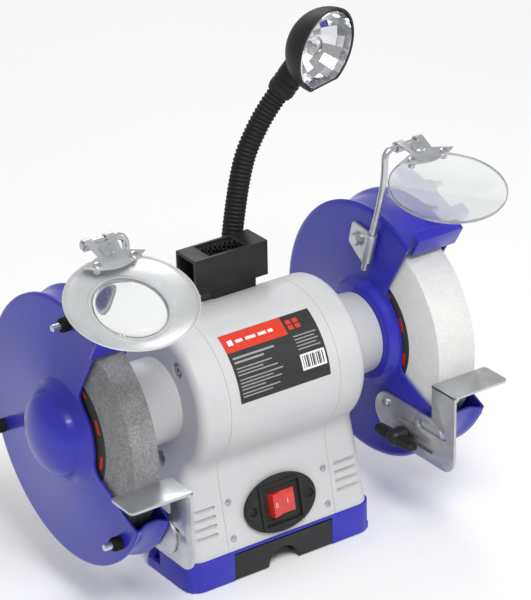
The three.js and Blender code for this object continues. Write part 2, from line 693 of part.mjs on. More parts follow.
// winged clamping knob, drawn about its own axis from the guard's face towards the motor
function restKnob(side) {
  const k = KNOB;
  const seat = BRACKET.thick + REST.thick + 3 * TOUCH;
  const inward = (depth) => -side.sign * depth;
  const hub = pin(inward(seat), inward(seat + k.reach), 0, 0, k.hub, COARSE);
  const half = k.barHeight / 2;
  const wing = block(inward(seat + 5), inward(seat + k.reach - 2), -k.barHalf, k.barHalf, -half, half);
  return hub.add(wing).add(pin(inward(TOUCH), inward(seat + 2), 0, 0, k.stud, COARSE));
}

// eye shields
function shieldClamp(side) {
  const s = stationsOf(side);
  const c = CLAMP;
  const x1 = s.guardFace - TOUCH;
  const lean = Math.atan2(ROD.footY - ROD.kneeY, ROD.kneeZ - ROD.footZ);
  const shape = polygon([
    [c.y0 - 8, c.z0 + 2], [c.y0 + 8, c.z0], [c.y1, c.z0 + 12], [c.y1 - 6, c.z1], [c.y0 - 12, c.z1 - 4],
  ]);
  let clamp = sideSheet(shape, side.sign * (x1 - c.thick), side.sign * x1);
  const sleeve = new THREE.CylinderGeometry(c.tube, c.tube, c.tubeLength, 16);
  const bore = new THREE.CylinderGeometry(ROD_RADIUS + TOUCH, ROD_RADIUS + TOUCH, c.tubeLength + 30, 16);
  const place = (geometry) => {
    geometry.rotateX(Math.PI / 2 + lean);
    geometry.translate(side.sign * s.rodX, (ROD.footY + ROD.kneeY) / 2, (ROD.footZ + ROD.kneeZ) / 2);
    return solidOf(geometry);
  };
  clamp = clamp.add(place(sleeve)).intersect(block(0, side.sign * x1, -80, 80, 0, 400));
  return clamp.subtract(place(bore));
}

function shieldRod(side) {
  const s = stationsOf(side);
  const x = (out) => side.sign * (s.rodX + out);
  const y = -side.shieldReach;
  const slope = (ROD.kneeY - ROD.footY) / (ROD.kneeZ - ROD.footZ);
  const foot = 4;
  const along = (z) => ROD.footY + slope * (z - ROD.footZ);
  const path = new THREE.CurvePath();
  const at = (px, py, pz) => new THREE.Vector3(px, py, pz);
  path.add(new THREE.LineCurve3(at(x(0), along(ROD.footZ - foot), ROD.footZ - foot), at(x(0),
    along(ROD.kneeZ), ROD.kneeZ)));
  const bendStart = at(x(0), y, ROD.topZ - ROD.bend);
  path.add(new THREE.CubicBezierCurve3(
    at(x(0), along(ROD.kneeZ), ROD.kneeZ), at(x(0), along(ROD.kneeZ + 20), ROD.kneeZ + 20),
    at(x(0), y, ROD.topZ - ROD.bend - 25), bendStart,
  ));
  path.add(new THREE.QuadraticBezierCurve3(bendStart, at(x(0), y, ROD.topZ), at(x(ROD.bend), y, ROD.topZ)));
  path.add(new THREE.LineCurve3(at(x(ROD.bend), y, ROD.topZ), at(x(ROD.bend + ROD.reach), y, ROD.topZ)));
  const section = new THREE.Shape().absarc(0, 0, ROD_RADIUS, 0, 2 * Math.PI);
  const settings = { steps: 20, extrudePath: path, bevelEnabled: false, curveSegments: 4 };
  return solidOf(new THREE.ExtrudeGeometry(section, settings));
}

// a frame whose origin lies on the rod's level end; local -Y runs down the shield's slope
function shieldFrame(side) {
  const s = stationsOf(side);
  const frame = new THREE.Group();
  frame.position.set(side.sign * (s.rodX + ROD.bend + ROD.reach / 2), -side.shieldReach, ROD.topZ);
  frame.rotation.x = side.shieldTilt * RAD;
  grinder.add(frame);
  return frame;
}

const PLATE_LEVEL = ROD_RADIUS + TOUCH;
const SHIELD_TOP = PLATE_LEVEL - SHIELD_DROP;

function shieldBracket() {
  const p = SHIELD_PLATE;
  const shape = new THREE.Shape();
  shape.moveTo(-p.halfTop, 0);
  shape.lineTo(-p.halfTop + 3, -p.neck);
  shape.lineTo(-p.halfWide, -p.neck - 7);
  shape.quadraticCurveTo(0, -2 * p.depth + p.neck + 7, p.halfWide, -p.neck - 7);
  shape.lineTo(p.halfTop - 3, -p.neck);
  shape.lineTo(p.halfTop, 0);
  shape.closePath();
  let plate = flatSheet(shape, PLATE_LEVEL, PLATE_LEVEL + p.thick);
  for (const x of [-p.spacerX, p.spacerX]) {
    plate = plate.add(post(x, -p.spacerY, SHIELD_TOP + TOUCH, PLATE_LEVEL + 1, p.spacer, COARSE));
  }
  return plate.add(ring(-p.halfTop, p.halfTop, ROD_RADIUS + TOUCH, p.sleeve, 16));
}

function clearShield() {
  const c = CLEAR_SHIELD;
  const top = SHIELD_TOP;
  const disc = flatSheet(ellipse(RIGHT.shieldShift, -c.centre, c.halfX, c.halfDown), top - c.thick,
    top, 20);
  return disc.subtract(block(-60, 60, -SHIELD_PLATE.neck + 1, 60, -20, 20));
}

function magnifierFrame() {
  const m = MAGNIFIER;
  const rim = SHIELD_TOP;
  const middle = -LEFT.shieldShift;
  const level = (rx, ry, z) => {
    const points = [];
    for (let i = 0; i < FINE; i += 1) {
      const angle = (i / FINE) * 2 * Math.PI;
      points.push(new THREE.Vector3(middle + rx * Math.cos(angle), -m.centre + ry * Math.sin(angle), z));
    }
    return points;
  };
  const seat = m.lens + 3;
  const outside = loft([level(seat, seat, rim - m.dish), level(m.halfX, m.halfDown, rim)]);
  const inside = loft([
    level(seat, seat, rim - m.dish + m.sheet),
    level(m.halfX - 1, m.halfDown - 1, rim + 0.001 + m.sheet / 2),
  ]);
  let frame = outside.subtract(inside);
  const rimSeat = loft([level(seat, seat, rim - m.dish - 3), level(seat, seat, rim - m.dish + 2.5)]);
  frame = frame.add(rimSeat);
  const bore = loft([
    level(m.lens + TOUCH, m.lens + TOUCH, rim - 40), level(m.lens + TOUCH, m.lens + TOUCH, rim + 40),
  ]);
  return frame.subtract(bore).subtract(block(-60, 60, -SHIELD_PLATE.neck + 1, 60, -20, 20));
}

function magnifierLens() {
  const m = MAGNIFIER;
  const level = SHIELD_TOP - m.dish - 0.5;
  const profile = [];
  for (let step = -3; step <= 3; step += 1) {
    const angle = step * 30 * RAD;
    const radius = Math.abs(step) === 3 ? 0 : m.lens * Math.cos(angle);
    profile.push(new THREE.Vector2(radius, (m.lensThick / 2) * Math.sin(angle)));
  }
  const lens = new THREE.LatheGeometry(profile, ROUND);
  return solidOf(lens.rotateX(Math.PI / 2).translate(-LEFT.shieldShift, -m.centre, level));
}

// dresser on its saddle
function dresserSaddle() {
  const d = DRESSER;
  const base = block(SADDLE.x0, SADDLE.x1, SADDLE.y0, SADDLE.y1, 180, d.z0 - TOUCH);
  return base.subtract(raised(bar(-100, 100, BODY_RADIUS + TOUCH, FINE)));
}

const cutterZ = () => DRESSER.z1 + CUTTER.proud - CUTTER.radius;
const cutterY = () => (DRESSER.y0 + DRESSER.y1) / 2;

// open-ended box with a window over the cutters and two plates that carry their pin
function dresserBody() {
  const d = DRESSER;
  const w = d.wall;
  const windowStart = CUTTER.x0 - w;
  const windowEnd = CUTTER.x1 + w;
  let body = block(d.x0, d.x1, d.y0, d.y1, d.z0, d.z1);
  body = body.subtract(block(d.x0 - 1, d.x1 - w, d.y0 + w, d.y1 - w, d.z0 + w, d.z1 - w));
  body = body.subtract(block(windowStart, windowEnd, d.y0 + w, d.y1 - w, d.z1 - w - 1, d.z1 + 1));
  for (const x of [windowStart - w, windowEnd]) {
    body = body.add(block(x, x + w, d.y0 + 1, d.y1 - 1, d.z0 + 1, d.z1 - 1));
  }
  return body.subtract(pin(windowStart - w - 1, windowEnd + w + 1, cutterY(), cutterZ(),
    CUTTER.pin + FIT, COARSE));
}

// star discs on one pin, drawn about the pin
function starCutters() {
  const c = CUTTER;
  const shape = new THREE.Shape();
  for (let i = 0; i < 2 * c.teeth; i += 1) {
    const radius = i % 2 ? c.radius : c.radius - c.toothDepth;
    const angle = (i * Math.PI) / c.teeth;
    const [y, z] = [radius * Math.cos(angle), radius * Math.sin(angle)];
    if (i) shape.lineTo(y, z);
    else shape.moveTo(y, z);
  }
  shape.closePath();
  const reach = 2 * DRESSER.wall - 0.5;
  let stack = pin(c.x0 - reach, c.x1 + reach, 0, 0, c.pin, COARSE).add(pin(c.x0, c.x1, 0, 0, c.hub,
    COARSE));
  const pitch = (c.x1 - c.x0) / c.discs;
  for (let i = 0; i < c.discs; i += 1) {
    const x = c.x0 + (i + 0.5) * pitch - c.thick / 2;
    stack = stack.add(sideSheet(shape, x, x + c.thick));
  }
  return stack;
}

// work light
function lampSocket() {
  const l = LAMP;
  const boss = post(l.x, l.y, SHAFT_HEIGHT + 8, l.socketTop, l.socketRadius);
  return boss.subtract(raised(bar(-100, 100, BODY_RADIUS + TOUCH, FINE)));
}

const hoseBottom = LAMP.socketTop + LAMP.flexGap;
const hoseRoute = new THREE.CatmullRomCurve3(
  HOSE_ROUTE.map(([x, rise]) => new THREE.Vector3(x, LAMP.y, hoseBottom + rise)), false, 'centripetal',
);

// a stretch of the hose between two shares of its length
class Stretch extends THREE.Curve {
  constructor(from, to) {
    super();
    this.from = from;
    this.to = to;
  }

  getPoint(t) {
    return hoseRoute.getPointAt(this.from + (this.to - this.from) * t);
  }
}

function hoseSegment(from, to) {
  const section = new THREE.Shape().absarc(0, 0, LAMP.hose, 0, 2 * Math.PI);
  const settings = { steps: 7, extrudePath: new Stretch(from, to), bevelEnabled: false, curveSegments: 6 };
  return solidOf(new THREE.ExtrudeGeometry(section, settings));
}

// everything of the lamp head is drawn about the opening's centre, local +Y facing out
const lampHead = new THREE.Group();
lampHead.position.set(...SHADE.opening);
const facing = new THREE.Vector3(...SHADE.facing).normalize();
lampHead.quaternion.setFromUnitVectors(new THREE.Vector3(0, -1, 0), facing);
grinder.add(lampHead);

function bellProfile(inset) {
  const points = [];
  const radius = SHADE.radius - inset;
  const depth = SHADE.depth - inset;
  for (let step = 0; step <= 5; step += 1) {
    const angle = step * 18 * RAD;
    points.push(new THREE.Vector2(step === 5 ? 0 : radius * Math.cos(angle), depth * Math.sin(angle)));
  }
  return points;
}

function lampShade() {
  const outer = [new THREE.Vector2(0, 0), ...bellProfile(0)];
  const inner = [new THREE.Vector2(0, -1), new THREE.Vector2(SHADE.radius - SHADE.wall, -1),
    ...bellProfile(SHADE.wall)];
  const bell = solidOf(new THREE.LatheGeometry(outer, 24));
  const hollow = solidOf(new THREE.LatheGeometry(inner, 24));
  const flatWall = block(-40, 40, 0.2, 40, -SHADE.flat - SHADE.wall, -SHADE.flat);
  let shade = bell.subtract(hollow).subtract(block(-60, 60, -5, 60, -60, -SHADE.flat - SHADE.wall));
  shade = shade.add(bell.intersect(flatWall));
  return shade;
}

// the rigid end of the hose, trimmed where it meets the shade
function lampCollar() {
  const start = hoseRoute.getPoint(1);
  const direction = new THREE.Vector3(...COLLAR.direction).normalize();
  const collar = new THREE.CylinderGeometry(COLLAR.radius, COLLAR.radius, COLLAR.length, ROUND);
  collar.applyQuaternion(new THREE.Quaternion().setFromUnitVectors(new THREE.Vector3(0, 1, 0), direction));
  const centre = start.addScaledVector(direction, COLLAR.length / 2 - 3);
  collar.translate(centre.x, centre.y, centre.z);
  const clear = new THREE.SphereGeometry(SHADE.radius + TOUCH + 0.2, FINE, ROUND);
  return solidOf(collar).subtract(solidOf(clear.translate(...SHADE.opening)));
}

function lampBulb() {
  const b = BULB;
  const profile = [
    [0, SHADE.depth - 6], [6, SHADE.depth - 6], [6, SHADE.depth - 16], [b.radius, SHADE.depth - 24],
    [b.radius - 1, SHADE.depth - b.length], [0, SHADE.depth - b.length - 3],
  ].map(([r, y]) => new THREE.Vector2(r, y));
  return solidOf(new THREE.LatheGeometry(profile, 16));
}

// assembly
addMesh('base_casting', baseCasting(), BLUE_ENAMEL);
for (const [place, x, y] of FOOT_PLACES) {
  addMesh(`foot_${place}`, post(x, y, 0, FOOT_HEIGHT - TOUCH, FOOT_RADIUS), RUBBER);
}
addMesh('coolant_tray', coolantTray(), BLACK_PLASTIC);
const gland = addMesh('cable_gland', cableGland(), RUBBER);
gland.position.set(GLAND.x, 0, GLAND.z);

addMesh('stator_housing', statorHousing(), GREY_ENAMEL);
addMesh('stator_core', ring(-STATOR.half, STATOR.half, STATOR.bore, BODY_RADIUS - BODY_WALL - FIT,
  FINE), COPPER, spindleLine);
addMesh('rotor', ring(-STATOR.half, STATOR.half, JOURNAL_RADIUS + FIT, STATOR.bore - AIR_GAP,
  FINE), STEEL, spindleLine);
addMesh('shaft', shaft(), STEEL, spindleLine);
addMesh('switch_plate', switchPlate(), BLACK_PLASTIC, switchPanel);
const button = addMesh('rocker_button', rocker(), RED_PLASTIC, switchPanel);
button.position.y = ROCKER.pivotDepth - TOUCH;
button.rotation.z = ROCKER.slope * RAD;

for (const side of [LEFT, RIGHT]) {
  const s = stationsOf(side);
  const { sign, name } = side;
  addMesh(`${name}_end_bell`, endBell(side), GREY_ENAMEL);
  const bearing = ring(
    sign * (BEARING.start + FIT), sign * (BEARING.start + BEARING.width - FIT),
      JOURNAL_RADIUS + FIT, BEARING.outer,
  );
  addMesh(`${name}_bearing`, bearing, STEEL, spindleLine);
  addMesh(`${name}_inner_flange`, flange(side, s.shoulder + FIT), ZINC, spindleLine);
  addMesh(`${name}_outer_flange`, flange(side, s.wheelOuter + FIT), ZINC, spindleLine);
  addMesh(`${name}_spindle_nut`, spindleNut(side), ZINC, spindleLine);
  addMesh(sign < 0 ? 'grey_wheel' : 'white_wheel', wheel(side),
    sign < 0 ? GREY_STONE : WHITE_STONE, spindleLine);

  addMesh(`${name}_guard`, guardShell(side), BLUE_ENAMEL, spindleLine);
  addMesh(`${name}_guard_cover`, guardCover(side), BLUE_ENAMEL, spindleLine);
  const places = ['top', 'front', 'rear'];
  eachStud((y, z) => {
    addMesh(`${name}_cover_nut_${places.shift()}`, coverNut(side, y, z), BLACK_PLASTIC, spindleLine);
  });
  const spark = addMesh(`${name}_spark_deflector`, deflector(side), BLUE_ENAMEL, spindleLine);
  spark.rotation.x = OPENING.top * RAD;

  addMesh(`${name}_rest_bracket`, restBracket(side), ZINC);
  addMesh(`${name}_tool_rest`, restPlate(side), ZINC);
  const knob = addMesh(`${name}_rest_knob`, restKnob(side), BLACK_PLASTIC);
  knob.position.set(sign * s.guardFace, KNOB.y, REST.lowerSlot);

  addMesh(`${name}_shield_clamp`, shieldClamp(side), ZINC);
  addMesh(`${name}_shield_rod`, shieldRod(side), ZINC);
  const frame = shieldFrame(side);
  addMesh(`${name}_shield_bracket`, shieldBracket(), ZINC, frame);
  if (sign > 0) {
    addMesh('clear_eye_shield', clearShield(), CLEAR, frame);
  } else {
    addMesh('magnifier_frame', magnifierFrame(), ZINC, frame);
    addMesh('magnifier_lens', magnifierLens(), CLEAR, frame);
  }
}

addMesh('dresser_saddle', dresserSaddle(), BLACK_PLASTIC);
addMesh('dresser_body', dresserBody(), BLACK_PLASTIC);
const cutters = addMesh('star_cutters', starCutters(), STEEL);
cutters.position.set(0, cutterY(), cutterZ());

addMesh('lamp_socket', lampSocket(), BLACK_PLASTIC);
const flexShare = LAMP.flexGap / hoseRoute.getLength();
addMesh('gooseneck_lower', hoseSegment(0, HOSE_SPLIT - flexShare), BLACK_PLASTIC);
addMesh('gooseneck_upper', hoseSegment(HOSE_SPLIT, 1).add(lampCollar()), BLACK_PLASTIC);
addMesh('lamp_shade', lampShade(), BLACK_PLASTIC, lampHead);
addMesh('lamp_bulb', lampBulb(), CHROME, lampHead);

export default grinder;
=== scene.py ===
import json
import math
import bpy
from mathutils import Matrix, Vector

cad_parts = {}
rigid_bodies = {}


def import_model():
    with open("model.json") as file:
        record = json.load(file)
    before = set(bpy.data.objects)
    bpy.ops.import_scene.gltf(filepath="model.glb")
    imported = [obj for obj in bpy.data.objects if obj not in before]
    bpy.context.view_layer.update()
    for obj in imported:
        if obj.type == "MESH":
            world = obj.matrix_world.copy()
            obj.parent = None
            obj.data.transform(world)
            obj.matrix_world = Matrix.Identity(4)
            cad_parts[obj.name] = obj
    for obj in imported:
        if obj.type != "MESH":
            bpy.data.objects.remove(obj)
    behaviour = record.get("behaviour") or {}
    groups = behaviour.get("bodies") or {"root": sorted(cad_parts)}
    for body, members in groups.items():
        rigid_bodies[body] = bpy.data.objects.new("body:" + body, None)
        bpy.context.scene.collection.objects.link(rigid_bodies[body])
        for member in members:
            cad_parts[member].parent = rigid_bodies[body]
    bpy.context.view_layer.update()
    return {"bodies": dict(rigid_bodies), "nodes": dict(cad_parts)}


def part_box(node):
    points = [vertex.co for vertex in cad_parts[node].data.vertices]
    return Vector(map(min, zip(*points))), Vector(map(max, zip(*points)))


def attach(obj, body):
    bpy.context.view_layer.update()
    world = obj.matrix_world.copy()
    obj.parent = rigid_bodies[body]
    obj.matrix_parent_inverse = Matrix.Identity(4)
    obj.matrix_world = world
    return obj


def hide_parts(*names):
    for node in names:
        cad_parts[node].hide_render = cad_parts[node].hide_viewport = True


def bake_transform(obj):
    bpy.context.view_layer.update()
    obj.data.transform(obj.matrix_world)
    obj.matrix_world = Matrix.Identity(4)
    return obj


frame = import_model()
mm = 0.001
print("frame loaded")


def clearSelection():
    bpy.ops.object.select_all(action="DESELECT")


def pick(*pieces):
    clearSelection()
    for piece in pieces:
        piece.select_set(True)
    bpy.context.view_layer.objects.active = pieces[0]


def settle(piece):
    pick(piece)
    bpy.ops.object.transform_apply(location=True, rotation=True, scale=True)
    return piece


def addModifier(piece, kind, **settings):
    pick(piece)
    modifier = piece.modifiers.new(kind.title(), kind)
    for key, value in settings.items():
        setattr(modifier, key, value)
    bpy.ops.object.modifier_apply(modifier=modifier.name)
    return piece


def tidy(piece, gap=0.005):
    # doubles merged and faces turned outwards
    pick(piece)
    bpy.ops.object.mode_set(mode="EDIT")
    bpy.ops.mesh.select_all(action="SELECT")
    bpy.ops.mesh.remove_doubles(threshold=gap * mm)
    bpy.ops.mesh.normals_make_consistent(inside=False)
    bpy.ops.object.mode_set(mode="OBJECT")
    return piece


def smooth(piece, angle=32):
    pick(piece)
    bpy.ops.object.shade_smooth_by_angle(angle=math.radians(angle))
    return piece


def soften(piece, width, segments=2, angle=32):
    # rounds every edge sharper than the angle
    addModifier(piece, "BEVEL", width=width * mm, segments=segments, limit_method="ANGLE",
                angle_limit=math.radians(angle), use_clamp_overlap=True, harden_normals=False)
    return smooth(piece, angle)


def cut(piece, *cutters):
    for cutter in cutters:
        addModifier(piece, "BOOLEAN", object=cutter, operation="DIFFERENCE", solver="EXACT")
        bpy.data.objects.remove(cutter)
    return piece


def fuse(piece, *others):
    for other in others:
        addModifier(piece, "BOOLEAN", object=other, operation="UNION", solver="EXACT")
        bpy.data.objects.remove(other)
    return piece


def join(name, *pieces):
    pick(*pieces)
    if len(pieces) > 1:
        bpy.ops.object.join()
    piece = bpy.context.object
    piece.name = name
    return piece


def place(piece, matrix):
    piece.data.transform(matrix)
    return piece


def copyOf(piece, name, matrix=None):
    twin = bpy.data.objects.new(name, piece.data.copy())
    bpy.context.collection.objects.link(twin)
    if matrix is not None:
        place(twin, matrix)
    return twin


def turnX(degrees, centre=(0, 0, 0)):
    # turn about a line along X through a point given in mm
    middle = Matrix.Translation(Vector(centre) * mm)
    return middle @ Matrix.Rotation(math.radians(degrees), 4, "X") @ middle.inverted()


def shift(x=0, y=0, z=0):
    return Matrix.Translation(Vector((x, y, z)) * mm)


mirrorX = Matrix.Scale(-1, 4, (1, 0, 0))
halfTurn = Matrix.Rotation(math.pi, 4, "Z")
xToZ = Matrix.Rotation(math.radians(-90), 4, "Y")  # stands up what was turned about X


def handed(piece, side):
    # a piece made for the right-hand side, turned into the left-hand one
    if side < 0:
        place(piece, mirrorX)
        piece.data.flip_normals()
    return piece


def block(name, x, y, z, rounding=0, segments=2):
    # a box between pairs of limits, with rounded edges
    bpy.ops.mesh.primitive_cube_add(size=1, location=(sum(x) / 2 * mm, sum(y) / 2 * mm, sum(z) / 2 * mm))
    piece = bpy.context.object
    piece.name = name
    piece.scale = (abs(x[1] - x[0]) * mm, abs(y[1] - y[0]) * mm, abs(z[1] - z[0]) * mm)
    settle(piece)
    if rounding:
        soften(piece, rounding, segments)
    return piece


def lathe(name, profile, sides=96, closed=False):
    # turns (x, radius) points about a line along X: a circle extruded and resized from point to point
    clearSelection()
    startX, startRadius = profile[0]
    tiny = 0.004
    radius = max(startRadius, tiny)
    bpy.ops.mesh.primitive_circle_add(vertices=sides, radius=radius * mm, location=(startX * mm, 0, 0),
                                      rotation=(0, math.pi / 2, 0))
    piece = bpy.context.object
    piece.name = name
    settle(piece)
    bpy.ops.object.mode_set(mode="EDIT")
    bpy.ops.mesh.select_all(action="SELECT")
    lastX = startX
    steps = list(profile[1:]) + ([profile[0]] if closed else [])
    for x, nextRadius in steps:
        nextRadius = max(nextRadius, tiny)
        bpy.ops.mesh.extrude_region_move(TRANSFORM_OT_translate={"value": ((x - lastX) * mm, 0, 0)})
        grow = nextRadius / radius
        bpy.ops.transform.resize(value=(1, grow, grow), center_override=(x * mm, 0, 0))
        lastX, radius = x, nextRadius
    bpy.ops.object.mode_set(mode="OBJECT")
    return tidy(piece, 0.01)


def arc(cx, cy, radius, start, end, steps=8):
    points = []
    for i in range(steps + 1):
        angle = math.radians(start + (end - start) * i / steps)
        points.append((cx + radius * math.cos(angle), cy + radius * math.sin(angle)))
    return points


def roundedLoop(corners, steps=6):
    # an outline through (u, v, radius) corners
    points = []
    count = len(corners)
    for i, (u, v, radius) in enumerate(corners):
        here = Vector((u, v))
        if not radius:
            points.append((u, v))
            continue
        before = (Vector(corners[i - 1][:2]) - here).normalized()
        after = (Vector(corners[(i + 1) % count][:2]) - here).normalized()
        half = before.angle(after) / 2
        reach = radius / math.tan(half)
        centre = here + (before + after).normalized() * (radius / math.sin(half))
        first, last = here + before * reach - centre, here + after * reach - centre
        sweep = first.angle_signed(last)
        for k in range(steps + 1):
            turn = -sweep * k / steps
            spoke = Vector((first.x * math.cos(turn) - first.y * math.sin(turn),
                            first.x * math.sin(turn) + first.y * math.cos(turn)))
            points.append(tuple(centre + spoke))
    return points


def slotLoop(u0, u1, v, half, steps=8):
    # a slot with round ends
    return arc(u1 - half, v, half, -90, 90, steps) + arc(u0 + half, v, half, 90, 270, steps)


# planes that an outline is drawn in: (y, z) thick along x, (x, z) thick along y, and (x, y) thick along z
sideOn = Matrix(((0, 0, 1, 0), (1, 0, 0, 0), (0, 1, 0, 0), (0, 0, 0, 1)))
frontOn = Matrix(((1, 0, 0, 0), (0, 0, -1, 0), (0, 1, 0, 0), (0, 0, 0, 1)))
flatOn = Matrix.Identity(4)


def sheet(name, loops, plane, low, high, edge=0.4):
    # a plate cut from flat outlines, its first the outside and the rest holes, with eased edges
    curve = bpy.data.curves.new(name, "CURVE")
    curve.dimensions = "2D"
    curve.fill_mode = "BOTH"
    thick = abs(high - low)
    curve.extrude = (thick / 2 - edge) * mm
    curve.bevel_depth = edge * mm
    curve.bevel_resolution = 1
    curve.offset = -edge * mm
    for loop in loops:
        spline = curve.splines.new("POLY")
        spline.points.add(len(loop) - 1)
        for point, (u, v) in zip(spline.points, loop):
            point.co = (u * mm, v * mm, 0, 1)
        spline.use_cyclic_u = True
    piece = bpy.data.objects.new(name, curve)
    bpy.context.collection.objects.link(piece)
    pick(piece)
    bpy.ops.object.convert(target="MESH")
    piece = bpy.context.object
    tidy(piece)
    middle = (low + high) / 2 * mm
    along = plane @ Vector((0, 0, 1))
    place(piece, Matrix.Translation(along * middle) @ plane if plane is not frontOn
          else Matrix.Translation(Vector((0, middle, 0))) @ plane)
    return smooth(piece)


def rod(name, points, radius, resolution=4, sides=8):
    # a round bar along points, closed at both ends
    curve = bpy.data.curves.new(name, "CURVE")
    curve.dimensions = "3D"
    curve.bevel_depth = radius * mm
    curve.bevel_resolution = sides
    curve.resolution_u = resolution
    curve.use_fill_caps = True
    spline = curve.splines.new("BEZIER")
    spline.bezier_points.add(len(points) - 1)
    for knot, point in zip(spline.bezier_points, points):
        knot.co = Vector(point) * mm
        knot.handle_left_type = knot.handle_right_type = "AUTO"
    piece = bpy.data.objects.new(name, curve)
    bpy.context.collection.objects.link(piece)
    pick(piece)
    bpy.ops.object.convert(target="MESH")
    piece = bpy.context.object
    tidy(piece)
    return smooth(piece, 40)


def refined(node, name, width, segments=2, angle=30):
    # the frame's own shape with its edges rounded
    source = frame["nodes"][node]
    piece = bpy.data.objects.new(name, source.data.copy())
    bpy.context.collection.objects.link(piece)
    piece.data.materials.clear()
    tidy(piece, 0.02)
    bpy.ops.object.mode_set(mode="EDIT")
    bpy.ops.mesh.select_all(action="SELECT")
    bpy.ops.mesh.dissolve_limited(angle_limit=math.radians(1))
    bpy.ops.object.mode_set(mode="OBJECT")
    return soften(piece, width, segments, angle)


def finish(piece, material, body, *nodes):
    piece.data.materials.clear()
    piece.data.materials.append(material)
    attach(piece, body)
    if nodes:
        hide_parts(*nodes)
    return piece


def toLinear(hexColour):
    # sRGB hex to linear RGBA
    channels = [int(hexColour[i:i + 2], 16) / 255 for i in (1, 3, 5)]
    return [c / 12.92 if c <= 0.04045 else ((c + 0.055) / 1.055) ** 2.4 for c in channels] + [1]


def addNode(tree, kind, settings=None, **inputs):
    # a node with its settings, and its sockets set to values or linked to (node, output) pairs;
    # i0, i1 ... name a socket by its number
    node = tree.nodes.new(kind)
    for key, value in (settings or {}).items():
        setattr(node, key, value)
    for key, value in inputs.items():
        numbered = key[0] == "i" and key[1:].isdigit()
        socket = node.inputs[int(key[1:]) if numbered else key.replace("_", " ")]
        if isinstance(value, tuple) and hasattr(value[0], "outputs"):
            tree.links.new(value[0].outputs[value[1]], socket)
        else:
            socket.default_value = value
    return node


def startMaterial(name, colour, roughness, metallic=0.0, **extra):
    material = bpy.data.materials.new(name)
    material.use_nodes = True
    tree = material.node_tree
    shader = tree.nodes["Principled BSDF"]
    shader.inputs["Base Color"].default_value = toLinear(colour)
    shader.inputs["Roughness"].default_value = roughness
    shader.inputs["Metallic"].default_value = metallic
    for key, value in extra.items():
        shader.inputs[key.replace("_", " ")].default_value = value
    coords = addNode(tree, "ShaderNodeTexCoord")
    return material, tree, shader, coords


def ramp(tree, source, low, high, lowColour, highColour):
    node = addNode(tree, "ShaderNodeValToRGB", Fac=source)
    elements = node.color_ramp.elements
    elements[0].position, elements[1].position = low, high
    elements[0].color = toLinear(lowColour)
    elements[1].color = toLinear(highColour)
    return node


def noiseOn(tree, coords, size, detail=3, stretch=None, roughness=0.55):
    # noise whose features are about size mm across, pulled out along an axis where it is brushed
    scale = tuple(1 / factor for factor in (stretch or (1, 1, 1)))
    mapping = addNode(tree, "ShaderNodeMapping", i0=(coords, "Object"), Scale=scale)
    return addNode(tree, "ShaderNodeTexNoise", i0=(mapping, 0), Scale=1 / (size * mm), Detail=detail,
                   Roughness=roughness)


def bumpFrom(tree, shader, source, strength, depth):
    bump = addNode(tree, "ShaderNodeBump", Height=source, Strength=strength, Distance=depth * mm)
    tree.links.new(bump.outputs[0], shader.inputs["Normal"])
    return bump


def roughFrom(tree, shader, source, low, high):
    spread = addNode(tree, "ShaderNodeMapRange", Value=source, i3=low, i4=high)
    tree.links.new(spread.outputs[0], shader.inputs["Roughness"])


def stoveEnamel():
    # stoved gloss enamel on pressed steel: deep blue-violet, faint orange peel, slightly uneven film
    material, tree, shader, at = startMaterial("stoveEnamel", "#2D2AA8", 0.34, Coat_Weight=0.22,
                                               Coat_Roughness=0.07,
                                               Specular_IOR_Level=0.32)
    cloud = noiseOn(tree, at, 45)
    tint = ramp(tree, (cloud, "Fac"), 0.3, 0.7, "#2825A2", "#322FB0")
    tree.links.new(tint.outputs[0], shader.inputs["Base Color"])
    peel = noiseOn(tree, at, 2.2, detail=1)
    bumpFrom(tree, shader, (peel, "Fac"), 0.12, 0.25)
    roughFrom(tree, shader, (cloud, "Fac"), 0.24, 0.38)
    return material


def greyPowderCoat():
    # satin powder coat on cast aluminium: pale grey with the fine pebble of the powder
    material, tree, shader, at = startMaterial("greyPowderCoat", "#C4C5C6", 0.4, Specular_IOR_Level=0.45)
    cloud = noiseOn(tree, at, 60)
    tint = ramp(tree, (cloud, "Fac"), 0.3, 0.7, "#C0C1C2", "#C9C9CA")
    tree.links.new(tint.outputs[0], shader.inputs["Base Color"])
    pebble = noiseOn(tree, at, 1.3, detail=2)
    bumpFrom(tree, shader, (pebble, "Fac"), 0.22, 0.2)
    roughFrom(tree, shader, (pebble, "Fac"), 0.36, 0.5)
    return material


def blackAbs(name="blackAbs", colour="#1B1B1B", light="#232323", roughness=0.5):
    # moulded ABS with a fine spark-eroded grain: matt black, a little worn
    material, tree, shader, at = startMaterial(name, colour, roughness, Specular_IOR_Level=0.32)
    cloud = noiseOn(tree, at, 25)
    tint = ramp(tree, (cloud, "Fac"), 0.35, 0.75, colour, light)
    tree.links.new(tint.outputs[0], shader.inputs["Base Color"])
    grain = noiseOn(tree, at, 0.9, detail=2)
    bumpFrom(tree, shader, (grain, "Fac"), 0.3, 0.15)
    roughFrom(tree, shader, (grain, "Fac"), roughness - 0.08, roughness + 0.12)
    return material


def nitrileRubber():
    # moulded rubber: dull black with a dusty bloom
    material, tree, shader, at = startMaterial("nitrileRubber", "#1B1B1B", 0.85)
    bloom = noiseOn(tree, at, 8, detail=4)
    tint = ramp(tree, (bloom, "Fac"), 0.4, 0.8, "#181818", "#2B2A29")
    tree.links.new(tint.outputs[0], shader.inputs["Base Color"])
    bumpFrom(tree, shader, (bloom, "Fac"), 0.2, 0.2)
    return material


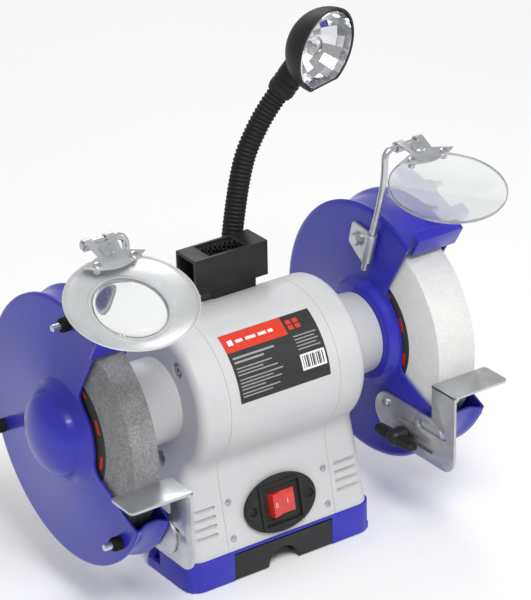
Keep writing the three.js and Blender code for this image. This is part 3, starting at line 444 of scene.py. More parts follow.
def redRocker():
    # glossy translucent-looking moulded polycarbonate, red all through
    material, tree, shader, at = startMaterial("redPolycarbonate", "#C9302B", 0.26, Coat_Weight=0.3)
    cloud = noiseOn(tree, at, 6)
    tint = ramp(tree, (cloud, "Fac"), 0.3, 0.7, "#C02A26", "#D43A33")
    tree.links.new(tint.outputs[0], shader.inputs["Base Color"])
    bumpFrom(tree, shader, (cloud, "Fac"), 0.06, 0.2)
    return material


def zincPlate(name="zincPlate", colour="#CBCDCF", dark="#B4B6B9", stretch=(6, 1, 1), roughness=0.34):
    # bright zinc plating on rolled steel: fine rolling lines under a slightly cloudy plate
    material, tree, shader, at = startMaterial(name, colour, roughness, 0.85)
    lines = noiseOn(tree, at, 0.9, detail=4, stretch=stretch)
    cloud = noiseOn(tree, at, 18)
    tint = ramp(tree, (cloud, "Fac"), 0.3, 0.75, dark, colour)
    tree.links.new(tint.outputs[0], shader.inputs["Base Color"])
    bumpFrom(tree, shader, (lines, "Fac"), 0.12, 0.08)
    roughFrom(tree, shader, (lines, "Fac"), roughness - 0.07, roughness + 0.12)
    return material


def paintedAluminium():
    # satin aluminium lacquer on a spun ring: pale, soft sheen, faint spinning rings
    material, tree, shader, at = startMaterial("satinLacquer", "#C6C7C8", 0.4, 0.5,
                                               Specular_IOR_Level=0.5)
    cloud = noiseOn(tree, at, 20)
    tint = ramp(tree, (cloud, "Fac"), 0.3, 0.7, "#BFC0C1", "#CDCECF")
    tree.links.new(tint.outputs[0], shader.inputs["Base Color"])
    fine = noiseOn(tree, at, 1.1, detail=2)
    bumpFrom(tree, shader, (fine, "Fac"), 0.1, 0.1)
    return material


def bondedGrit(name, base, light, dark, grit):
    # vitrified grinding wheel: grains of grit mm, drawn coarse enough to see, with open pores between
    material, tree, shader, at = startMaterial(name, base, 0.92, Specular_IOR_Level=0.25)
    grains = addNode(tree, "ShaderNodeTexVoronoi", i0=(at, "Object"), Scale=1 / (grit * mm))
    body = noiseOn(tree, at, 14, detail=4)
    speck = ramp(tree, (grains, "Color"), 0.15, 0.85, dark, light)
    tone = ramp(tree, (body, "Fac"), 0.3, 0.7, base, light)
    mix = addNode(tree, "ShaderNodeMix", {"data_type": "RGBA"}, i0=0.5, i6=(speck, 0), i7=(tone, 0))
    tree.links.new(mix.outputs[2], shader.inputs["Base Color"])
    bumpFrom(tree, shader, (grains, "Distance"), 0.5, 0.5)
    return material


def printedFoil(name, colour, light, roughness=0.4):
    # printed vinyl label film: even colour, faint ripple of the adhesive beneath
    material, tree, shader, at = startMaterial(name, colour, roughness)
    ripple = noiseOn(tree, at, 5)
    tint = ramp(tree, (ripple, "Fac"), 0.3, 0.7, colour, light)
    tree.links.new(tint.outputs[0], shader.inputs["Base Color"])
    bumpFrom(tree, shader, (ripple, "Fac"), 0.05, 0.1)
    return material


def clearPlastic(name, colour, roughness, ior, alpha=1.0):
    # polished clear moulding: nearly colourless, light hairline haze from wiping
    material, tree, shader, at = startMaterial(name, colour, roughness, Transmission_Weight=0.96, IOR=ior,
                                               Alpha=alpha)
    haze = noiseOn(tree, at, 3, detail=5, stretch=(5, 1, 1))
    roughFrom(tree, shader, (haze, "Fac"), roughness, roughness + 0.05)
    return material


def chromedReflector():
    # vacuum-metallised reflector: near mirror with a soft ripple of the moulding
    material, tree, shader, at = startMaterial("metallisedReflector", "#D4D5D8", 0.12, 1.0)
    ripple = noiseOn(tree, at, 9, detail=1)
    bumpFrom(tree, shader, (ripple, "Fac"), 0.25, 0.6)
    roughFrom(tree, shader, (ripple, "Fac"), 0.06, 0.2)
    return material


def copperWinding():
    # enamelled copper wire in slots of laminated steel
    material, tree, shader, at = startMaterial("enamelledCopper", "#9A5A2E", 0.4, 0.8)
    strands = noiseOn(tree, at, 1.2, stretch=(8, 1, 1))
    tint = ramp(tree, (strands, "Fac"), 0.35, 0.65, "#6E3D1F", "#B4713E")
    tree.links.new(tint.outputs[0], shader.inputs["Base Color"])
    bumpFrom(tree, shader, (strands, "Fac"), 0.5, 0.4)
    return material


enamel = stoveEnamel()
powderCoat = greyPowderCoat()
blackPlastic = blackAbs()
satinAbs = blackAbs("blackNylon", "#1D1D1D", "#272727", 0.42)
trayBlack = blackAbs("trayPolypropylene", "#252527", "#2D2D2F", 0.46)
hoseBlack = blackAbs("hosePvc", "#111111", "#181818", 0.6)
toolBlack = zincPlate("blackedSteel", "#2C2C2E", "#232325", (1, 1, 1), 0.5)
rubber = nitrileRubber()
rockerRed = redRocker()
zinc = zincPlate()
brightSteel = zincPlate("brightScrew", "#CDCFD1", "#B4B6B9", (1, 1, 1), 0.24)
groundSteel = zincPlate("groundSteel", "#9A9C9F", "#84868A", (1, 5, 5), 0.38)
lacquer = paintedAluminium()
whiteGrit = bondedGrit("whiteAlumina", "#D6D6D5", "#DFDFDE", "#CACAC8", 1.1)
greyGrit = bondedGrit("greyCorundum", "#808082", "#979798", "#5C5C5E", 1.3)
paper = printedFoil("blotterPaper", "#262625", "#30302F", 0.8)
foilDark = printedFoil("darkFoil", "#1E1E20", "#252527", 0.55)
foilOrange = printedFoil("orangeFoil", "#CE2F18", "#D6381D")
foilWhite = printedFoil("whiteFoil", "#DCDCDB", "#E6E6E5")
foilGrey = printedFoil("greyFoil", "#8F9091", "#9C9D9E")
clear = clearPlastic("clearPolycarbonate", "#F4F7F7", 0.03, 1.2, 0.5)
# darker clear tint for a band inside the shield's rim: painted shade for the dark lines the refracting edge
# shows
rimShadeTint = clearPlastic("paintedRimShade", "#9FA8A8", 0.2, 1.45, 0.75)
lensGlass = clearPlastic("opticalGlass", "#F8FAF9", 0.01, 1.3)
bulbGlass = clearPlastic("bulbGlass", "#FFFFFF", 0.01, 1.45)
chrome = chromedReflector()
copper = copperWinding()
print("materials made")


shaftZ = 163


def inMm(node):
    low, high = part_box(node)
    return low / mm, high / mm


def bowl(radius, depth, steps=12):
    # a quarter ellipse of (depth, radius) from its open edge to its pole
    turns = [math.pi / 2 * i / steps for i in range(steps + 1)]
    return [(depth * math.sin(turn), radius * math.cos(turn)) for turn in turns]


def sideOf(name, sign):
    low, high = inMm(name + "_guard")
    reach = sorted((abs(low.x), abs(high.x)))
    coverLow, coverHigh = inMm(name + "_guard_cover")
    cover = sorted((abs(coverLow.x), abs(coverHigh.x)))
    wheelLow, wheelHigh = inMm("grey_wheel" if sign < 0 else "white_wheel")
    wheel = sorted((abs(wheelLow.x), abs(wheelHigh.x)))
    return {"name": name, "sign": sign, "dish": reach[0], "face": reach[0] + 8, "shellEnd": reach[1],
            "cover": cover[0] + 2, "wheel": wheel}


sides = [sideOf("left", -1), sideOf("right", 1)]
toShaft = shift(0, 0, shaftZ)


def onRing(piece, radius, degrees):
    # lifts a piece made on the shaft line out to a place round it
    angle = math.radians(degrees)
    return place(piece, shift(0, radius * math.cos(angle), shaftZ + radius * math.sin(angle)))


guard = {"edge": 118, "waist": 114, "open": (121.5, 204), "bulge": 51, "coverBulge": 47.2, "fillet": 13,
         "hubRing": 49}


def openingCutter(name, bulge, x0, x1):
    # the sector left open at the front, with fillets into the bulge over the hub
    top, bottom = guard["open"]
    spread = math.degrees(guard["fillet"] / bulge)

    def ray(radius, degrees):
        angle = math.radians(degrees)
        return Vector((radius * math.cos(angle), radius * math.sin(angle)))

    def corner(outer, pivot, inner):
        steps = [i / 6 for i in range(7)]
        return [tuple((1 - t) ** 2 * outer + 2 * t * (1 - t) * pivot + t * t * inner) for t in steps]

    loop = corner(ray(bulge + guard["fillet"], top), ray(bulge, top), ray(bulge, top + spread))
    loop += arc(0, 0, bulge, top + spread, bottom - spread, 20)[1:-1]
    loop += corner(ray(bulge, bottom - spread), ray(bulge, bottom), ray(bulge + guard["fillet"], bottom))
    loop += [tuple(ray(200, bottom)), tuple(ray(240, (top + bottom) / 2)), tuple(ray(200, top))]
    return sheet(name, [loop], sideOn, x0, x1, 0.01)


def guardShell(side):
    face, end, dish = side["face"], side["shellEnd"], side["dish"]
    edge, waist = guard["edge"], guard["waist"]
    ringTop = guard["hubRing"]
    outside = [(dish, 20), (dish, ringTop - 6.5), (dish + 0.5, ringTop - 5), (dish + 1.8, ringTop - 3.8),
               (face - 3, ringTop - 1.4), (face - 1, ringTop - 0.2), (face, ringTop + 2),
               (face, waist - 2.5),
               (face + 0.3, waist + 0.6), (face + 1.1, edge - 1), (face + 2.6, edge),
               (face + 4.6, edge - 0.7),
               (face + 6.6, waist + 1.9), (face + 9.5, waist + 0.5), (face + 13, waist), (end - 13, waist),
               (end - 9.5, waist + 0.5), (end - 6.6, waist + 1.9), (end - 4.4, edge - 0.8),
               (end - 2.2, edge),
               (end, edge)]
    inside = [(end, edge - 2), (end - 2.2, edge - 2), (end - 4.8, edge - 3), (end - 7, waist - 0.2),
              (end - 10, waist - 1.7), (end - 13, waist - 2), (face + 13, waist - 2),
              (face + 10, waist - 1.6), (face + 7, waist - 0.1), (face + 4.6, edge - 2.8),
              (face + 2.8, edge - 2.4), (face + 2, waist - 2.4),
              (face + 2, ringTop + 1.4), (face + 0.6, ringTop - 1.4), (dish + 3, ringTop - 5.6),
              (dish + 2, ringTop - 7.2), (dish + 2, 20)]
    shell = lathe(side["name"] + "GuardShell", outside + inside, closed=True)
    cut(shell, openingCutter("shellCutter", guard["bulge"], dish - 5, end + 20))
    smooth(handed(shell, side["sign"]), 40)
    return finish(place(shell, toShaft), enamel, "machine", side["name"] + "_guard")


def guardCover(side):
    c, edge = side["cover"], guard["edge"]
    dome = [(c + 9 + x, r) for x, r in reversed(bowl(37.5, 18, 9))]
    collar = [(c + 7, 38.6), (c + 5, 40.2), (c + 3.2, 42), (c + 1.6, 44.2), (c + 0.5, 46), (c, 47)]
    rim = [(c, edge - 3), (c - 0.2, edge - 1.4), (c - 0.8, edge - 0.3), (c - 1.6, edge),
           (c - 2, edge - 0.4),
           (c - 2, edge - 2.5)]
    back = [(c - 2, 47.4), (c - 1.4, 44.4), (c + 1.6, 40.6), (c + 5, 37.6), (c + 9, 35.5)]
    hollow = [(c + 9 + x, r) for x, r in bowl(35.5, 16, 9)[1:]]
    cover = lathe(side["name"] + "GuardCover", dome + collar + rim + back + hollow)
    cut(cover, openingCutter("coverCutter", guard["coverBulge"], c - 6, c + 2))
    smooth(handed(cover, side["sign"]), 30)
    return finish(place(cover, toShaft), enamel, "machine", side["name"] + "_guard_cover")


def capNut():
    # ribbed plastic cap on a stud with a plated tip, pointing along +X from its seat
    cap = lathe("capNut", [(0, 0), (0, 5.6), (0.4, 6), (6.6, 6), (7.6, 5.4), (8, 4.2), (8, 0)], sides=32)
    pick(cap)
    for face in cap.data.polygons:
        middle, normal = face.center, face.normal
        index = round(math.degrees(math.atan2(middle.z, middle.y)) / 11.25 - 0.5)
        face.select = abs(normal.x) < 0.2 and middle.x < 6.4 * mm and middle.x > 0.5 * mm and index % 2 == 0
    for edge in cap.data.edges:
        edge.select = False
    bpy.ops.object.mode_set(mode="EDIT")
    bpy.ops.mesh.select_mode(type="FACE")
    bpy.ops.mesh.inset(thickness=0.12 * mm, depth=-0.35 * mm, use_individual=True)
    bpy.ops.mesh.select_mode(type="VERT")
    bpy.ops.object.mode_set(mode="OBJECT")
    return smooth(cap, 30)


def capTip():
    return smooth(lathe("capTip", [(7.6, 0), (7.6, 3), (15, 3), (15.7, 2.4), (15.7, 0)], sides=24), 30)


def nutsAndTips():
    cap, tip = capNut(), capTip()
    names = {"top": 99.6, "front": 219.6, "rear": 339.6}
    for side in sides:
        for where, degrees in names.items():
            seat = shift(side["cover"] + 0.3)
            one = handed(copyOf(cap, f"{side['name']}CapNut_{where}", seat), side["sign"])
            node = f"{side['name']}_cover_nut_{where}"
            finish(onRing(one, 107, degrees), blackPlastic, "machine", node)
            pinEnd = handed(copyOf(tip, f"{side['name']}CapTip_{where}", seat), side["sign"])
            finish(onRing(pinEnd, 107, degrees), brightSteel, "machine")
    bpy.data.objects.remove(cap)
    bpy.data.objects.remove(tip)


for side in sides:
    guardShell(side)
    guardCover(side)
nutsAndTips()
print("guards made")


def grindingWheel(side, node, material):
    x0, x1 = side["wheel"]
    profile = [(x0, 8.1), (x0, 98.6), (x0 + 0.5, 99.6), (x0 + 1.4, 100), (x1 - 1.4, 100), (x1 - 0.5, 99.6),
               (x1, 98.6), (x1, 8.1)]
    wheel = lathe(node.replace("_w", "W"), profile, sides=128, closed=True)
    smooth(handed(wheel, side["sign"]), 35)
    finish(place(wheel, toShaft), material, "spindle", node)
    for where, x, out in (("Inner", x0, -1), ("Outer", x1, 1)):
        ring = [(x + 0.04 * out, 36.6), (x + 0.35 * out, 36.6), (x + 0.35 * out, 57.6), (x + 0.1 * out, 58)]
        blotter = lathe(side["name"] + "Blotter" + where, ring, sides=96, closed=True)
        smooth(handed(blotter, side["sign"]), 35)
        finish(place(blotter, toShaft), paper, "spindle")
        for i in range(10):
            # printed dashes round the paper, in place of lettering
            mark = arc(0, 0, 53.4, -7, 7, 6) + arc(0, 0, 49.6, 7, -7, 6)
            dash = sheet("dash", [mark], sideOn, x + 0.36 * out,
                         x + 0.44 * out, 0.001)
            dash.name = f"{side['name']}{where}Dash{i}"
            place(dash, toShaft @ Matrix.Rotation(math.radians(12 + 36 * i), 4, "X"))
            if side["sign"] < 0:
                handed(dash, -1)
            finish(dash, foilOrange, "spindle")


grindingWheel(sides[0], "grey_wheel", greyGrit)
grindingWheel(sides[1], "white_wheel", whiteGrit)
print("wheels made")


# one lofted block under the barrel, hollowed where it runs up into the round
pedestal = {"levels": [(28.7, 95, 57.5), (99, 90.6, 42.4), (104.6, 89.6, 42.1), (109.75, 88.4, 43.3),
                       (114.5, 87.3, 45.9), (119, 86.5, 50), (124, 86, 49)], "corner": 13}
housing = {"radius": 66.6, "halfLength": 86, "edge": 9, "seam": 56.5, "gap": 0.15, "neck": 37}


lean = math.degrees(math.atan2(17, 79.3))


def faceY(z):
    # the sloping front of the pedestal
    return -57.5 + 17 * (z - 28.7) / 79.3


def loft(name, levels, corner, segments=8):
    # a block through (z, half x, half y) levels with rounded upright edges
    clearSelection()
    z0, halfX, halfY = levels[0]
    bpy.ops.mesh.primitive_plane_add(size=2, location=(0, 0, z0 * mm))
    piece = bpy.context.object
    piece.name = name
    piece.scale = (halfX * mm, halfY * mm, 1)
    settle(piece)
    bpy.ops.object.mode_set(mode="EDIT")
    bpy.ops.mesh.select_all(action="SELECT")
    bpy.ops.mesh.bevel(offset=corner * mm, segments=segments, affect="VERTICES")
    bpy.ops.mesh.select_all(action="SELECT")
    lastZ = z0
    for z, nextX, nextY in levels[1:]:
        bpy.ops.mesh.extrude_region_move(TRANSFORM_OT_translate={"value": (0, 0, (z - lastZ) * mm)})
        bpy.ops.transform.resize(value=(nextX / halfX, nextY / halfY, 1), center_override=(0, 0, z * mm))
        lastZ, halfX, halfY = z, nextX, nextY
    bpy.ops.object.mode_set(mode="OBJECT")
    return tidy(piece)


def keepBetween(piece, low, high):
    # trims a piece between two planes across X
    pick(piece)
    for x, clearInner in ((low, True), (high, False)):
        bpy.ops.object.mode_set(mode="EDIT")
        bpy.ops.mesh.select_all(action="SELECT")
        bpy.ops.mesh.bisect(plane_co=(x * mm, 0, 0), plane_no=(1, 0, 0), use_fill=True,
                            clear_inner=clearInner,
                            clear_outer=not clearInner)
        bpy.ops.object.mode_set(mode="OBJECT")
    return tidy(piece)


def barrel(name, x0, x1):
    # the round shell over the windings, closed at its ends by the bells' rounded shoulders
    r, far, edge = housing["radius"], housing["halfLength"], housing["edge"]
    shoulder = arc(far - edge, r - edge, edge, 90, 0, 8)
    profile = [(-far, 0)] + [(-x, rr) for x, rr in reversed(shoulder)] + shoulder + [(far, 0)]
    whole = place(lathe(name, profile), toShaft)
    return keepBetween(whole, x0, x1)


def grooves(x0, x1):
    # four louvre slots pressed into the lower front of a bell
    cutters = []
    for i in range(4):
        z = 48 + 8 * i
        cutters.append(sheet("groove", [slotLoop(x0, x1, z, 1.7)], frontOn, -80,
                             (z - 28.7) * 0.214 - 55.1, 0.01))
    return cutters


def bodyPart(name, x0, x1):
    # one slice of the housing, barrel and pedestal together
    gap = housing["gap"]
    low = x0 + gap if x0 > -200 else x0
    high = x1 - gap if x1 < 200 else x1
    foot = keepBetween(loft("foot", pedestal["levels"], pedestal["corner"]), max(low, -100), min(high, 100))
    drum = barrel(name, max(low, -90), min(high, 90))
    return fuse(drum, foot)


def bell(side):
    sign, seam = side["sign"], housing["seam"]
    low, high = (seam, 300) if sign > 0 else (-300, -seam)
    piece = bodyPart(side["name"] + "EndBell", low, high)
    neck = lathe("neck", [(70, 0), (70, 37), (side["dish"] - 6, 37), (side["dish"] - 4.2, 36.4),
                          (side["dish"] - 0.3, 36.4), (side["dish"] - 0.3, 0)], sides=72)
    fuse(piece, place(handed(neck, sign), toShaft))
    bore = lathe("bore", [(60, 0), (60, 10.2), (260, 10.2), (260, 0)], sides=48)
    cut(piece, place(handed(bore, sign), toShaft))
    pockets = []
    for y, z in ((-31, 202), (-4, 107.5), (31, 202)):
        pocket = lathe("pocket", [(81.5, 0), (81.5, 6), (82, 7), (92, 7), (92, 0)], sides=32)
        pockets.append(place(handed(pocket, sign), shift(0, y, z)))
    cut(piece, *pockets)
    x0, x1 = (-93, -64) if sign < 0 else (61, 93)
    cut(piece, *grooves(x0, x1))
    soften(piece, 0.7, 2, 24)
    finish(piece, powderCoat, "machine", side["name"] + "_end_bell")
    for y, z in ((-31, 202), (-4, 107.5), (31, 202)):
        head = [(81.6, 0), (81.6, 4.6), (84.4, 4.6), (84.9, 4.1), (84.9, 2.4), (83.2, 2.2), (83.2, 0)]
        bolt = lathe("boltHead", head, sides=6 if z > 150 else 24)
        bolt.name = side["name"] + "BellBolt"
        finish(smooth(place(handed(bolt, sign), shift(0, y, z)), 25), zinc, "machine")


def middleSection():
    piece = bodyPart("statorHousing", -housing["seam"], housing["seam"])
    finish(soften(piece, 0.7, 2, 24), powderCoat, "machine", "stator_housing")


for side in sides:
    bell(side)
middleSection()
print("body castings made")


switch = {"z": 57, "oval": (37.5, 26), "lift": 4.6, "well": (20.5, 19), "floor": 3.2, "frameTop": 6.4}
def onFace(piece, x=0, z=57):
    # a piece drawn flat, its z outwards, laid on the sloping front of the pedestal
    turn = Matrix.Rotation(math.radians(90 - lean), 4, "X")
    return place(piece, Matrix.Translation(Vector((x, faceY(z), z)) * mm) @ turn)


def ovalLoop(halfX, halfY, steps=64):
    return [(halfX * math.cos(2 * math.pi * i / steps), halfY * math.sin(2 * math.pi * i / steps))
            for i in range(steps)]


def squareLoop(halfX, halfY, radius=1.5):
    return roundedLoop([(-halfX, -halfY, radius), (halfX, -halfY, radius), (halfX, halfY, radius),
                        (-halfX, halfY, radius)])


def switchSurround():
    # oval bezel, its edge sloping to the panel, with a raised square frame round a deep well
    wide, tall = switch["oval"]
    wellX, wellY = switch["well"]
    plate = sheet("switchPlate", [ovalLoop(wide, tall)], flatOn, 0.3, switch["lift"], 1.9)
    frameX, frameY = wellX + 1.6, wellY + 1.6
    surround = sheet("switchFrame", [squareLoop(frameX, frameY, 2.5)], flatOn, 0.5, switch["frameTop"], 0.9)
    fuse(plate, surround)
    well = sheet("switchWell", [squareLoop(wellX - 1.4, wellY - 1.4, 1.2)], flatOn, switch["floor"], 12,
                 0.01)
    cut(plate, well)
    hole = sheet("rockerHole", [squareLoop(12.9, 11.1, 0.8)], flatOn, -4, 6, 0.01)
    cut(plate, hole)
    for x in (-29.6, 29.6):
        recess = sheet("screwRecess", [ovalLoop(3.9, 3.9, 32)], flatOn, switch["lift"] - 1.4, 12, 0.01)
        cut(plate, place(recess, shift(x)))
    soften(plate, 0.25, 2, 40)
    finish(onFace(plate), blackPlastic, "machine", "switch_plate")
    for i, x in enumerate((29.6, -29.6)):
        screw = crossScrew(f"surroundScrew{i}", 3.2, 1.3)
        place(screw, shift(x, 0, switch["lift"] - 1.5))
        finish(onFace(screw), satinAbs, "machine")


def crossScrew(name, radius, height):
    # pan head with a cross slot, standing along +Z from its seat
    r = radius
    head = lathe(name,
                 [(0, 0), (0, r), (height * 0.35, r), (height * 0.75, r * 0.86), (height, r * 0.5),
                  (height, 0)],
                 sides=32)
    place(head, xToZ)
    for turn in (0, 90):
        arm = block("arm", (-r * 0.52, r * 0.52), (-r * 0.12, r * 0.12), (height * 0.55, height + 2))
        cut(head, place(arm, Matrix.Rotation(math.radians(turn + 20), 4, "Z")))
    return smooth(head, 35)


def rocker():
    piece = refined("rocker_button", "rockerButton", 0.8, 3, 25)
    finish(piece, rockerRed, "switch_rocker", "rocker_button")


def rockerMarks():
    # plain printed ring at the left and dash at the right, lying on the two slopes of the button
    centreY, centreZ = faceY(switch["z"]), switch["z"]
    source = bpy.data.objects["rockerButton"]
    outward = Vector((0, -math.cos(math.radians(lean)), math.sin(math.radians(lean))))
    upward = Vector((0, math.sin(math.radians(lean)), math.cos(math.radians(lean))))
    for name, x in (("ringMark", -6.6), ("dashMark", 6.6)):
        if name == "ringMark":
            mark = sheet(name, [ovalLoop(1.7, 2.1, 32), ovalLoop(1.2, 1.6, 32)], flatOn, 0, 0.12, 0.01)
        else:
            mark = sheet(name, [squareLoop(0.3, 2.2, 0.1)], flatOn, 0, 0.12, 0.01)
        bpy.context.view_layer.update()
        start = Vector((x, centreY, centreZ)) * mm + outward * 30 * mm
        into = source.matrix_world.inverted()
        hit, point, normal = source.ray_cast(into @ start, into.to_3x3() @ -outward)[:3]
        if not hit:
            bpy.data.objects.remove(mark)
            continue
        spot, facing = source.matrix_world @ point, source.matrix_world.to_3x3() @ normal
        side = upward.cross(facing).normalized()
        turned = Matrix((side, facing.cross(side), facing)).transposed().to_4x4()
        place(mark, Matrix.Translation(spot - facing * 0.04 * mm) @ turned)
        finish(mark, foilWhite, "switch_rocker")


def panelScrews():
    for x in (-50, 50):
        for z in (72, 39.5):
            screw = crossScrew("panelScrew", 3.1, 1.6)
            finish(onFace(screw, x, z), brightSteel, "machine")


def baseCasting():
    piece = refined("base_casting", "baseCasting", 1.3, 3, 35)
    finish(piece, enamel, "machine", "base_casting")
    drawer = refined("coolant_tray", "coolantTray", 0.7, 3, 35)
    finish(drawer, trayBlack, "tray", "coolant_tray")
    for name in ("foot_front_left", "foot_front_right", "foot_rear_left", "foot_rear_right"):
        finish(refined(name, name.title().replace("_", ""), 0.6, 2, 35), rubber, "machine", name)


baseCasting()
switchSurround()
rocker()
rockerMarks()
panelScrews()
print("base and switch made")


label = {"x": (-46, 46.5), "angles": (8, 61), "radius": 66.6, "split": 17.5, "header": 46}


def wrapPatch(name, x0, x1, a0, a1, lift, material, thick=0.12):
    # a rectangle of film rolled round the front of the barrel; angles rise from the horizontal
    radius = label["radius"] + lift
    steps = max(2, round((a1 - a0) / 2))
    outer = [(radius * math.cos(math.radians(a0 + (a1 - a0) * i / steps)),
              radius * math.sin(math.radians(a0 + (a1 - a0) * i / steps))) for i in range(steps + 1)]
    inner = [(y * (radius - thick) / radius, z * (radius - thick) / radius) for y, z in reversed(outer)]
    patch = sheet(name, [[(-y, z) for y, z in outer + inner]], sideOn, x0, x1, 0.001)
    smooth(patch, 25)
    return finish(place(patch, toShaft), material, "machine")


def labelPanel():
    x0, x1 = label["x"]
    a0, a1 = label["angles"]
    split, header = label["split"], label["header"]
    wrapPatch("labelBack", x0, x1, a0, a1, 0.22, foilDark)
    wrapPatch("labelHeader", x0, split - 1, header, a1 - 0.2, 0.3, foilOrange)
    wrapPatch("labelSymbol", x0 + 5, x0 + 10, header + 5, header + 9.5, 0.36, foilWhite)
    for i, (s0, s1) in enumerate(((13, 20), (23, 33), (36, 44), (46, 51))):
        wrapPatch(f"labelMark{i}", x0 + s0, x0 + s1, header + 6, header + 8.4, 0.36, foilWhite)
    rows = ((40.5, 42), (37.2, 30), (33, 36), (30.6, 26), (28.2, 40), (24.6, 44), (22.2, 33), (19.8, 41),
            (17.4, 24), (14.6, 38), (12.2, 30))
    for i, (angle, reach) in enumerate(rows):
        top = angle + (1.5 if i < 2 else 0.9)
        wrapPatch(f"labelLine{i}", x0 + 3, x0 + 3 + reach, angle, top, 0.3, foilGrey)
    dots = ((22, 55), (29, 55), (22, 50.4), (29, 50.4))
    for i, (x, angle) in enumerate(dots):
        wrapPatch(f"labelDot{i}", x - 2.5, x + 2.5, angle - 1.8, angle + 1.8, 0.3, foilOrange)
    for i, angle in enumerate((42.5, 40, 37.5, 35, 32.5)):
        wrapPatch(f"labelNote{i}", 20, 43 - 3 * (i % 2), angle, angle + 0.8, 0.3, foilGrey)
    wrapPatch("barStrip", 19.5, 44.5, 17, 29, 0.3, foilWhite)
    for i in range(11):
        x = 21.2 + i * 2.0
        wrapPatch(f"bar{i}", x, x + (0.6 + 0.5 * (i * 7 % 3)), 18.6, 27.6, 0.36, foilDark)


labelPanel()
print("label made")


def bodyOf(node):
    parent = frame["nodes"][node].parent
    return next(name for name, empty in frame["bodies"].items() if empty == parent)


def asDrawn(material, width, *nodes):
    # pieces that keep the frame's own shape, with eased edges
    for node in nodes:
        piece = refined(node, node.title().replace("_", "") + "Fine", width)
        finish(piece, material, bodyOf(node), node)


rest = {"front": -133, "top": 151, "thick": 2.5, "width": 59, "arm": -102, "table": -101.5, "footTop": 117,
        "foot": 74, "corner": 15, "lowerBack": -52, "lowerSlot": 87, "upperBack": -83, "upperSlot": 107,
        "upperFront": -122,
        "lowerFront": -104, "slot": 4, "lug": 9}
bracket = {"front": -112, "back": -18, "middle": 97, "half": 18}
knob = {"y": -64, "z": 87, "wing": 26, "bar": 9}


def toolRest(side):
    r, sign, near = rest, side["sign"], side["face"] - 3.1
    outline = [(r["front"], r["top"] - 0.4)]
    outline += arc(r["front"] + r["corner"], r["foot"] + r["corner"], r["corner"], 180, 270)
    outline += arc(r["lowerBack"] - 4, r["lowerSlot"], r["lowerSlot"] - r["foot"], -90, 90)
    lugY = r["upperBack"] - 4
    outline += [(lugY + r["lug"], 100)] + arc(lugY, r["upperSlot"] + 1, r["lug"], 0, 90)
    outline += [(r["arm"] + 2, r["footTop"]), (r["arm"], r["footTop"] + 2), (r["arm"], r["top"] - 0.4)]
    slots = [slotLoop(r["upperFront"], r["upperBack"], r["upperSlot"], r["slot"]),
             slotLoop(r["lowerFront"], r["lowerBack"], r["lowerSlot"], r["slot"])]
    plate = sheet(side["name"] + "ToolRest", [outline] + slots, sideOn, near - r["thick"], near, 0.3)
    x0 = near - r["thick"]
    corners = [(x0, r["front"], 0.3), (x0 + r["width"], r["front"], 4), (x0 + r["width"], r["table"], 4),
               (x0, r["table"], 0.3)]
    table = sheet("table", [roundedLoop(corners)], flatOn, r["top"] - r["thick"], r["top"], 0.35)
    start, stop = r["front"] + 0.1, r["arm"] + 0.1
    edge = lathe("fold", [(start, 0), (start, 2.5), (stop, 2.5), (stop, 0)], sides=32)
    place(edge, shift(x0 + 2.5, 0, r["top"] - 2.5) @ Matrix.Rotation(math.radians(90), 4, "Z"))
    plate = join(side["name"] + "ToolRest", plate, table, edge)
    smooth(handed(plate, sign), 30)
    finish(plate, zinc, side["name"] + "_rest", side["name"] + "_tool_rest")
    b = bracket
    arms = [slotLoop(b["front"], b["back"], b["middle"], b["half"], 16), ovalAt(knob["y"], knob["z"], 3.7)]
    holder = sheet(side["name"] + "RestBracket", arms, sideOn, side["face"] - 2.8, side["face"] - 0.3, 0.3)
    finish(smooth(handed(holder, sign)), zinc, "machine", side["name"] + "_rest_bracket")
    bolt = lathe("bracketBolt", [(0, 0), (0, 4.6), (1.6, 4.6), (2.6, 3.4), (2.9, 0)], sides=32)
    place(bolt, shift(side["face"] - 2.9, -34, 106) @ halfTurn)
    finish(smooth(handed(bolt, sign), 30), zinc, "machine")


def ovalAt(u, v, radius, steps=32):
    return [(u + a, v + b) for a, b in ovalLoop(radius, radius, steps)]


def restKnob(side):
    # moulded tee knob: plain boss on a stud, two tapered wings; the boss's ribs and washer are not drawn
    seat = side["face"] - 5.9
    boss = [(0, 0), (0, 7.4), (0.6, 8), (10, 8), (13.5, 7), (15.4, 5.4), (16, 4), (16, 0)]
    hub = lathe(side["name"] + "RestKnob", boss, sides=48)
    place(hub, shift(seat) @ halfTurn)
    outline = roundedLoop([(-knob["wing"], -3.6, 3), (-8, -knob["bar"] / 2, 2), (8, -knob["bar"] / 2, 2),
                           (knob["wing"], -3.6, 3), (knob["wing"], 3.6, 3), (8, knob["bar"] / 2, 2),
                           (-8, knob["bar"] / 2, 2), (-knob["wing"], 3.6, 3)])
    wing = sheet("wing", [outline], sideOn, seat - 14, seat - 5, 1.6)
    fuse(hub, wing)
    stud = lathe("stud", [(-6.4, 0), (-6.4, 3.4), (1, 3.4), (1, 0)], sides=24)
    fuse(hub, place(stud, shift(seat) @ halfTurn))
    smooth(hub, 35)
    place(hub, shift(0, knob["y"], knob["z"]))
    finish(handed(hub, side["sign"]), satinAbs, side["name"] + "_knob", side["name"] + "_rest_knob")
    tip = lathe("studTip", [(15.8, 0), (15.8, 2.6), (15.98, 2.2), (15.98, 0)], sides=24)
    place(tip, shift(seat, knob["y"], knob["z"]) @ halfTurn)
    finish(handed(tip, side["sign"]), zinc, side["name"] + "_knob")


for side in sides:
    toolRest(side)
    restKnob(side)
print("tool rests made")


